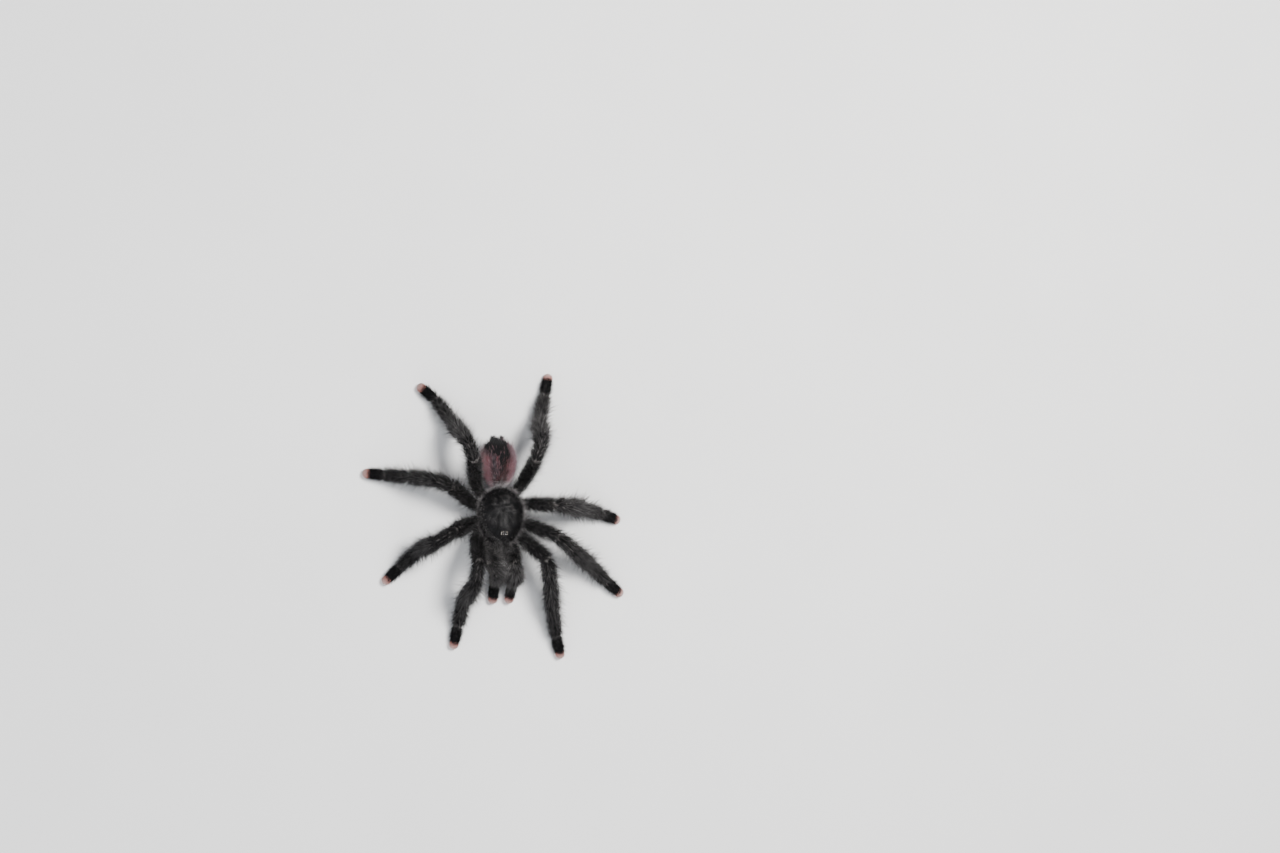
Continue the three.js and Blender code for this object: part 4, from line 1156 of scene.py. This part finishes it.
def abdomen_colours(bearing, round_):
    """Root and tip colours of the abdomen's hairs."""
    tone, spot = random(len(bearing)), random(len(bearing))
    band, mottled, belly, front, streak = abdomen_zones(bearing, round_)
    along, aside = np.degrees(bearing), np.degrees(wrapped(round_))

    flecks = np.sin(13 * round_ + 5 * bearing) + np.sin(21 * bearing - 9 * round_ + 1)
    flecks += 1.6 * (tone - 0.5)
    heather = mix(MAUVE * 0.2, mix(MAUVE, SMOKE, 0.25), smoothstep(flecks, -0.4, 2.0))
    tip = mix(flank_colours(along, aside, streak, tone), heather, mottled)
    # painted shade: the tips darken towards the left flank, as on a side turned from the light
    tip = tip * (1 - 0.64 * smoothstep(aside, 8, 32))[:, None]
    root = mix(WINE, DUST, 0.15 + 0.35 * tone)

    wine = (1 - smoothstep(along, 84, 110)) * smoothstep(aside, -6, 12) + 1 - smoothstep(along, 56, 80)
    black = mix(mix(JET, CHARCOAL, tone), UMBER * (0.4 + 0.8 * tone)[:, None], np.clip(wine, 0, 1))
    dark = (spot < 0.97 * band) | (spot < belly * 0.85)
    tip = np.where(dark[:, None], black, tip)
    root = np.where((dark | (spot < 0.8 * mottled))[:, None], JET, root)

    tufted = smoothstep(np.sin(11 * round_ + 2) + np.sin(17 * round_ - 7 * bearing), 0.6, 1.5)
    pale_front = np.clip(front + (1 - smoothstep(along, 42, 68)) * tufted, 0, 1)
    tip = mix(tip, mix(SMOKE, FROST, front * tone), pale_front * (0.25 + 0.6 * tone))
    return root, tip


def abdomen_roots(layer, low=4, high=176):
    """Bearings and angles spread over the abdomen, with points, normals and map patches."""
    shares = spread(TUFTS[layer])
    rows = np.radians(np.linspace(low, high, 300))
    bearing = placed(shares[:, 0], rows, np.sin(rows) ** ABDOMEN_TAPER + 0.05)
    round_ = shares[:, 1] * tau
    surface = with_normals(abdomen_point, bearing, round_, step=0.01, side=-1)
    return bearing, round_, *surface, map_patch(bearing / pi, shares[:, 1])


def ruffled(lie, waver):
    return lie + rng.normal(0, waver, lie.shape)


def abdomen_coat():
    """A dense short coat, and over it a streaky pelt, a halo, a ruff and a rear tuft."""
    under = Coat()
    bearing, round_, foot, out, lie, patch = abdomen_roots("abdomen_nap")
    root, tip = abdomen_colours(bearing + radians(5), round_)
    lie = ruffled(lie, 0.12)
    drawn = hair("abdomen_nap", len(foot))
    under.grow(foot, out, lie, patch, **drawn, root=root, tip=mix(root, tip, 0.7))
    under.build("abdomen_undercoat", "rose_coat", "abdomen")

    over = Coat()
    abdomen_pelt(over)
    halo(over)
    front_ruff(over)
    rear_tuft(over)
    over.build("abdomen_hair", "rose_coat", "abdomen")


def abdomen_pelt(coat):
    """Hair that lies back, shorter in the band, and standing out of the right flank."""
    bearing, round_, foot, out, lie, patch = abdomen_roots("abdomen_pelt")
    root, tip = abdomen_colours(bearing + radians(12), round_)
    band, _, _, front, _ = abdomen_zones(bearing, round_)
    flank = smoothstep(-np.sin(round_), 0.5, 0.9) * np.sin(bearing)
    lie = ruffled(lie, 0.15)
    drawn = hair("abdomen_pelt", len(foot), 1 - 0.2 * band + 0.4 * flank, 0.3 * front + 0.5 * flank)
    coat.grow(foot, out, lie, patch, **drawn, root=root, tip=tip)


def halo(coat):
    """Long pale hair outside the band, the strip and the belly, shorter on the left and darker there with
    painted shade.
    """
    bearing, round_, foot, out, lie, patch = abdomen_roots("abdomen_halo")
    band, mottled, belly, *_ = abdomen_zones(np.minimum(bearing + 0.4, 3.0), round_)
    keep = random(len(foot)) > np.clip(band + 0.9 * mottled + belly, 0, 0.99)
    bearing, round_, foot, out, lie, patch = (a[keep] for a in (bearing, round_, foot, out, lie, patch))
    count = len(foot)
    tone = random(count)
    on_left = np.sin(round_) > 0
    longer = np.where(on_left, 0.75 + 0.5 * smoothstep(bearing, 2.0, 2.5), 1.2)
    tip = mix(mix(DUST, BLUSH, tone), LILAC, np.where(on_left, 0.35 + 0.5 * tone, 0.4 * tone))
    lie = ruffled(lie, 0.25)
    # painted shade: the tips on the left flank are darkened more than those on the right
    coat.grow(
        foot, out, lie, patch, **hair("abdomen_halo", count, longer),
        root=mix(WINE, DUST, 0.4 + 0.6 * tone), tip=tip * np.where(on_left, 0.36, 0.8)[:, None],
    )


def front_ruff(coat):
    """Long pale hair that stands out of the abdomen's front, over the waist."""
    _, _, foot, out, lie, patch = abdomen_roots("abdomen_ruff", low=6, high=32)
    tone = random(len(foot))
    lie = ruffled(lie, 0.7)
    drawn = hair("abdomen_ruff", len(foot))
    coat.grow(foot, out, lie, patch, **drawn, root=ASH, tip=mix(SMOKE, FROST, tone))


def rear_tuft(coat):
    """Longer black hair that stands back from the abdomen's end, over the spinnerets."""
    bearing, round_, foot, out, lie, patch = abdomen_roots("abdomen_rear", low=132)
    band, *_ = abdomen_zones(bearing, round_)
    keep = (np.cos(round_) > -0.6) & (random(len(foot)) < band)
    foot, out, lie, patch = (a[keep] for a in (foot, out, lie, patch))
    tone = random(len(foot))
    off = (foot[:, 0] - ABDOMEN_MIDDLE[0] - REAR_TUFT["aside"]) / REAR_TUFT["half_width"]
    back = ruffled(REAR_TUFT["heading"] + 0.6 * lie, 0.22)
    drawn = hair("abdomen_rear", len(foot), 1 + 0.35 * np.exp(-(off**2)))
    coat.grow(foot, out, back, patch, **drawn, root=JET, tip=mix(CHARCOAL, ASH, tone**2))


# ---- the skin ----


def chelicera_tube(side):
    return Tube(np.array(CHELICERA_PATH) * (side, 1, 1), CHELICERA_SHAPE)


def spinneret_tube(side):
    """A spinneret, from just inside the abdomen."""
    bearing, round_ = radians(SPINNERET["bearing"]), side * radians(SPINNERET["round"])
    foot, out, _ = with_normals(abdomen_point, np.array(bearing), np.array(round_), 0.01, -1)
    path = [foot - out * 0.5]
    for length, climb in zip(SPINNERET["lengths"], np.radians(SPINNERET["climbs"])):
        heading = np.array((side * SPINNERET["spread"], cos(climb), sin(climb)))
        path.append(path[-1] + unit(heading) * length)
    return Tube(path, SPINNERET_SHAPE)


def body_parts():
    """The closed surfaces that the skin is the union of, apart from the limbs."""
    angles = circle(48)
    round_, bearing = np.meshgrid(angles, np.linspace(0, pi, 42)[1:-1])
    ends = [abdomen_point(np.array(b), np.array(0.0)) for b in (0.0, pi)]
    yield loft(abdomen_point(bearing, round_), *ends)
    waist = ((0, PEDICEL["front"] - 2, PEDICEL["height"]), ABDOMEN_MIDDLE - (0, 4, 0))
    radius = PEDICEL["radius"]
    yield Tube(waist, ((0, 0, radius, radius), (0, 1, radius, radius))).mesh()
    rings = []
    for height, share in STERNUM_SIDE:
        x = STERNUM["half_width"] * share * np.cos(angles)
        y = STERNUM["half_length"] * share * np.sin(angles)
        rings.append(np.stack([x, y, np.full_like(x, STERNUM["bottom"] + height)], axis=1))
    yield loft(rings)
    for side in SIDES.values():
        yield chelicera_tube(side).mesh(0.4, 24)
        yield spinneret_tube(side).mesh(0.3, 16)


def skin():
    """One skin under all the fur: body, limbs, chelicerae and spinnerets."""
    mesh = fused("skin", [*body_parts(), *(limb.mesh() for limb in LIMBS)])
    set_marking(mesh, skin_colours(mesh))
    bare = ("carapace", "eyes", "fang")
    flesh = [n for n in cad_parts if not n.endswith("_toe") and n.split("_")[0] not in bare]
    add_piece(mesh, "skin", "coat", *flesh)


def skin_colours(mesh):
    """The markings on the skin: pale joints and stripes, and a dark rose abdomen."""
    points = np.empty(len(mesh.vertices) * 3)
    mesh.vertices.foreach_get("co", points)
    points = points.reshape(-1, 3) / MM - ORIGIN
    colours = np.tile(JET, (len(points), 1))
    for limb in LIMBS:
        distance = np.linalg.norm(points[:, None] - limb.centre[::2], axis=2)
        near = distance.min(1) < LIMB_REACH
        i = distance[near].argmin(1) * 2
        away = points[near] - limb.centre[i]
        angle = np.arctan2((away * limb.up[i]).sum(1), (away * limb.across[i]).sum(1))
        pale = 0.35 * limb.ring(limb.s[i]) + 0.15 * stripe(limb, limb.s[i], angle)
        colours[near] = mix(JET, RING, pale)
    away = points - ABDOMEN_MIDDLE
    bearing = np.arccos(-np.clip(away[:, 1] / ABDOMEN["half_length"], -1, 1))
    band, mottled, belly, *_ = abdomen_zones(bearing, np.arctan2(away[:, 0], away[:, 2]))
    on_abdomen = np.linalg.norm(away / ABDOMEN_REACH, axis=1) < 1
    rosy = np.clip(1 - band - mottled - belly, 0, 1)
    colours[on_abdomen] = mix(JET, WINE, 0.7 * rosy)[on_abdomen]
    return colours


# ---- feet, chelicerae, fangs and spinnerets ----


def tube_roots(tube, count, row, rows, crowding=1.0):
    """Places and angles spread over a tube, with points, normals and patches in a row of the map."""
    shares = spread(count)
    s = tube.start + (tube.stop - tube.start) * shares[:, 0] ** crowding
    angle = shares[:, 1] * tau
    patch = np.stack([0.01 + 0.98 * shares[:, 0], (row + 0.05 + 0.9 * shares[:, 1]) / rows], axis=1)
    return s, angle, *tube.surface(s, angle), patch


def toe_tube(limb):
    path = [limb.at(limb.centre, limb.place("tarsus", TOE_START)), limb.centre[-1]]
    shape = [(0, (share - TOE_START) / (1 - TOE_START), wide, tall) for share, wide, tall in TOE_SHAPE]
    return Tube(path, shape)


def toes():
    """The pink ends of all the feet: a soft pad each, under dense velvet, black over its top."""
    pads, coat, count = [], Coat(), TUFTS["toe"]
    for row, limb in enumerate(LIMBS):
        toe = toe_tube(limb)
        pads.append(toe.mesh(0.18, 28))
        s, angle, foot, out, patch = tube_roots(toe, count, row, len(LIMBS), crowding=0.75)
        tone = random(count)
        ahead = (s - toe.start) / (toe.stop - toe.start)
        black = ahead + 0.12 * (tone - 0.5) < 0.08 + 0.24 * np.maximum(np.sin(angle), 0) ** 1.5
        black = black[:, None]
        axis = toe.at(toe.axis, s)
        splay = np.cos(angle)[:, None] * toe.at(toe.across, s) * 0.35
        pink = mix(SALMON, SHELL_PINK, smoothstep(ahead, 0.25, 0.8) * 0.8 + 0.2 * tone)
        coat.grow(
            foot, unit(out + axis * (ahead**3)[:, None]), axis + splay, patch, **hair("toe", count),
            root=np.where(black, JET, mix(SALMON * 0.6, SALMON, ahead)),
            tip=np.where(black, mix(JET, CHARCOAL, tone), pink),
        )
    points, faces = together(pads)
    mesh = mesh_of("toe_pads", points, faces)
    set_marking(mesh, np.tile(SALMON * 0.7, (len(points), 1)))
    add_piece(mesh, "toe", "toe", *(f"{limb.name}_toe" for limb in LIMBS))
    coat.build("toe_velvet", "toe", "toe")


def tube_fur(coat, tube, layer, row, pale):
    """A layer of dark fur over one tube of a pair, with the tips paler."""
    count = TUFTS[layer]
    drawn = hair(layer, count)
    s, _, foot, out, patch = tube_roots(tube, count, row, len(SIDES))
    lie = ruffled(tube.at(tube.axis, s), 0.12)
    tone = random(count)
    colours = {"root": mix(JET, CHARCOAL, tone), "tip": mix(CHARCOAL, pale, tone)}
    coat.grow(foot, out, lie, patch, **drawn, **colours)


def face():
    """The coat of the chelicerae, and the fangs folded below them."""
    coat, fangs = Coat(), []
    for row, side in enumerate(SIDES.values()):
        tube = chelicera_tube(side)
        tube.start = tube.ends[1] - 0.4
        tube_fur(coat, tube, "chelicera_nap", row, ASH)
        tube_fur(coat, tube, "chelicera_long", row, SMOKE * 0.6)
        fangs.append(Tube(np.array(FANG_PATH) * (side, 1, 1), FANG_SHAPE).mesh(0.2, 20))
    coat.build("chelicerae_coat")
    add_piece(mesh_of("fangs", *together(fangs)), "fang", "fang", "fang_left", "fang_right")


def spinneret_coat():
    coat = Coat()
    for row, side in enumerate(SIDES.values()):
        tube_fur(coat, spinneret_tube(side), "spinneret", row, ASH)
    coat.build("spinneret_coat")


def sternum_coat():
    """Short dark fur under the body, between the coxae."""
    coat, count = Coat(), TUFTS["sternum"]
    shares = spread(count)
    reach, angle = np.sqrt(shares[:, 0]), shares[:, 1] * tau
    x = (STERNUM["half_width"] - 0.2) * reach * np.cos(angle)
    y = (STERNUM["half_length"] - 0.2) * reach * np.sin(angle)
    foot = np.stack([x, y, STERNUM["bottom"] + 0.1 + 0.9 * reach**6], axis=1)
    out = unit(np.stack([0.25 * x * reach**3, 0.18 * y * reach**3, -np.ones(count)], axis=1))
    patch = 0.5 + 0.47 * foot[:, :2] / STERNUM["half_length"]
    tone = random(count)
    lie = np.array((0, 1, 0)) + rng.normal(0, 0.2, (count, 3))
    colours = {"root": mix(JET, CHARCOAL, tone), "tip": mix(CHARCOAL, ASH, tone)}
    coat.grow(foot, out, lie, patch, **hair("sternum", count), **colours)
    coat.build("sternum_coat")


# ---- the studio ----

# The photo's frame: its size in pixels, the carapace's place in it, and the size of a pixel.
PHOTO_SIZE = (1280, 853)
CARAPACE_PIXEL = (500.6, 513.0)
PIXEL = 0.383
CAMERA_TILT = radians(20)  # from straight above, towards the animal's right side
CARAPACE_LEVEL = 9.4
LENS = 200
SENSOR = 36
LIGHTS = {  # place and size in metres, watts, colour
    "key": ((0.30, 0.30, 0.75), 0.40, 15, (1.0, 0.99, 0.97)),
    "fill": ((-0.7, -0.2, 0.6), 0.8, 5, (0.93, 0.96, 1.0)),
    "rim": ((0.2, -0.8, 0.4), 0.5, 3, (1.0, 1.0, 1.0)),
}
SKY = {"Color": (0.9, 0.93, 1.0, 1), "Strength": 0.42}
FLOOR = {"half": 3.0, "level": -0.00004}  # in metres


def camera():
    """The photo's view: nearly from above, with the head towards the bottom of the picture."""
    back = np.array((-sin(CAMERA_TILT), 0, cos(CAMERA_TILT)))
    right = np.array((cos(CAMERA_TILT), 0, sin(CAMERA_TILT)))
    top = np.array((0, 1, 0))
    across = (PHOTO_SIZE[0] / 2 - CARAPACE_PIXEL[0]) * PIXEL
    above = (CARAPACE_PIXEL[1] - PHOTO_SIZE[1] / 2) * PIXEL
    target = np.array((0, 0, CARAPACE_LEVEL)) + right * across + top * above
    distance = PHOTO_SIZE[0] * PIXEL * LENS / SENSOR
    data = bpy.data.cameras.new("camera")
    data.lens, data.sensor_width, data.clip_start, data.clip_end = LENS, SENSOR, 0.01, 20
    piece = bpy.data.objects.new("camera", data)
    piece.location = metres(target + back * distance)
    piece.rotation_euler = Matrix((right, top, back)).transposed().to_euler()
    bpy.context.scene.collection.objects.link(piece)
    bpy.context.scene.camera = piece


def studio():
    """A pale floor, three soft lamps and a dim sky."""
    mesh = bpy.data.meshes.new("floor")
    half, level = FLOOR["half"], FLOOR["level"]
    corners = [(x * half, y * half, level) for x, y in ((-1, -1), (1, -1), (1, 1), (-1, 1))]
    mesh.from_pydata(corners, [], [(0, 1, 2, 3)])
    link(mesh, "floor")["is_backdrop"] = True
    for name, (place, size, watts, colour) in LIGHTS.items():
        data = bpy.data.lights.new(name, "AREA")
        data.shape, data.size, data.energy, data.color = "DISK", size, watts, colour
        lamp = bpy.data.objects.new(name, data)
        lamp.location = place
        lamp.rotation_euler = Vector(place).to_track_quat("Z", "Y").to_euler()
        bpy.context.scene.collection.objects.link(lamp)
    world = bpy.data.worlds.new("studio")
    world.use_nodes = True
    feed(world.node_tree, world.node_tree.nodes["Background"], **SKY)
    bpy.context.scene.world = world


# ---- the animal ----

camera()
studio()
skin()
for limb in LIMBS:
    limb_coat(limb)
carapace()
carapace_coat()
eyes()
abdomen_coat()
toes()
face()
spinneret_coat()
sternum_coat()

boxes = {"cad": cad_box, "visual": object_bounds()}
{name: [list(corner) for corner in box] for name, box in boxes.items()}
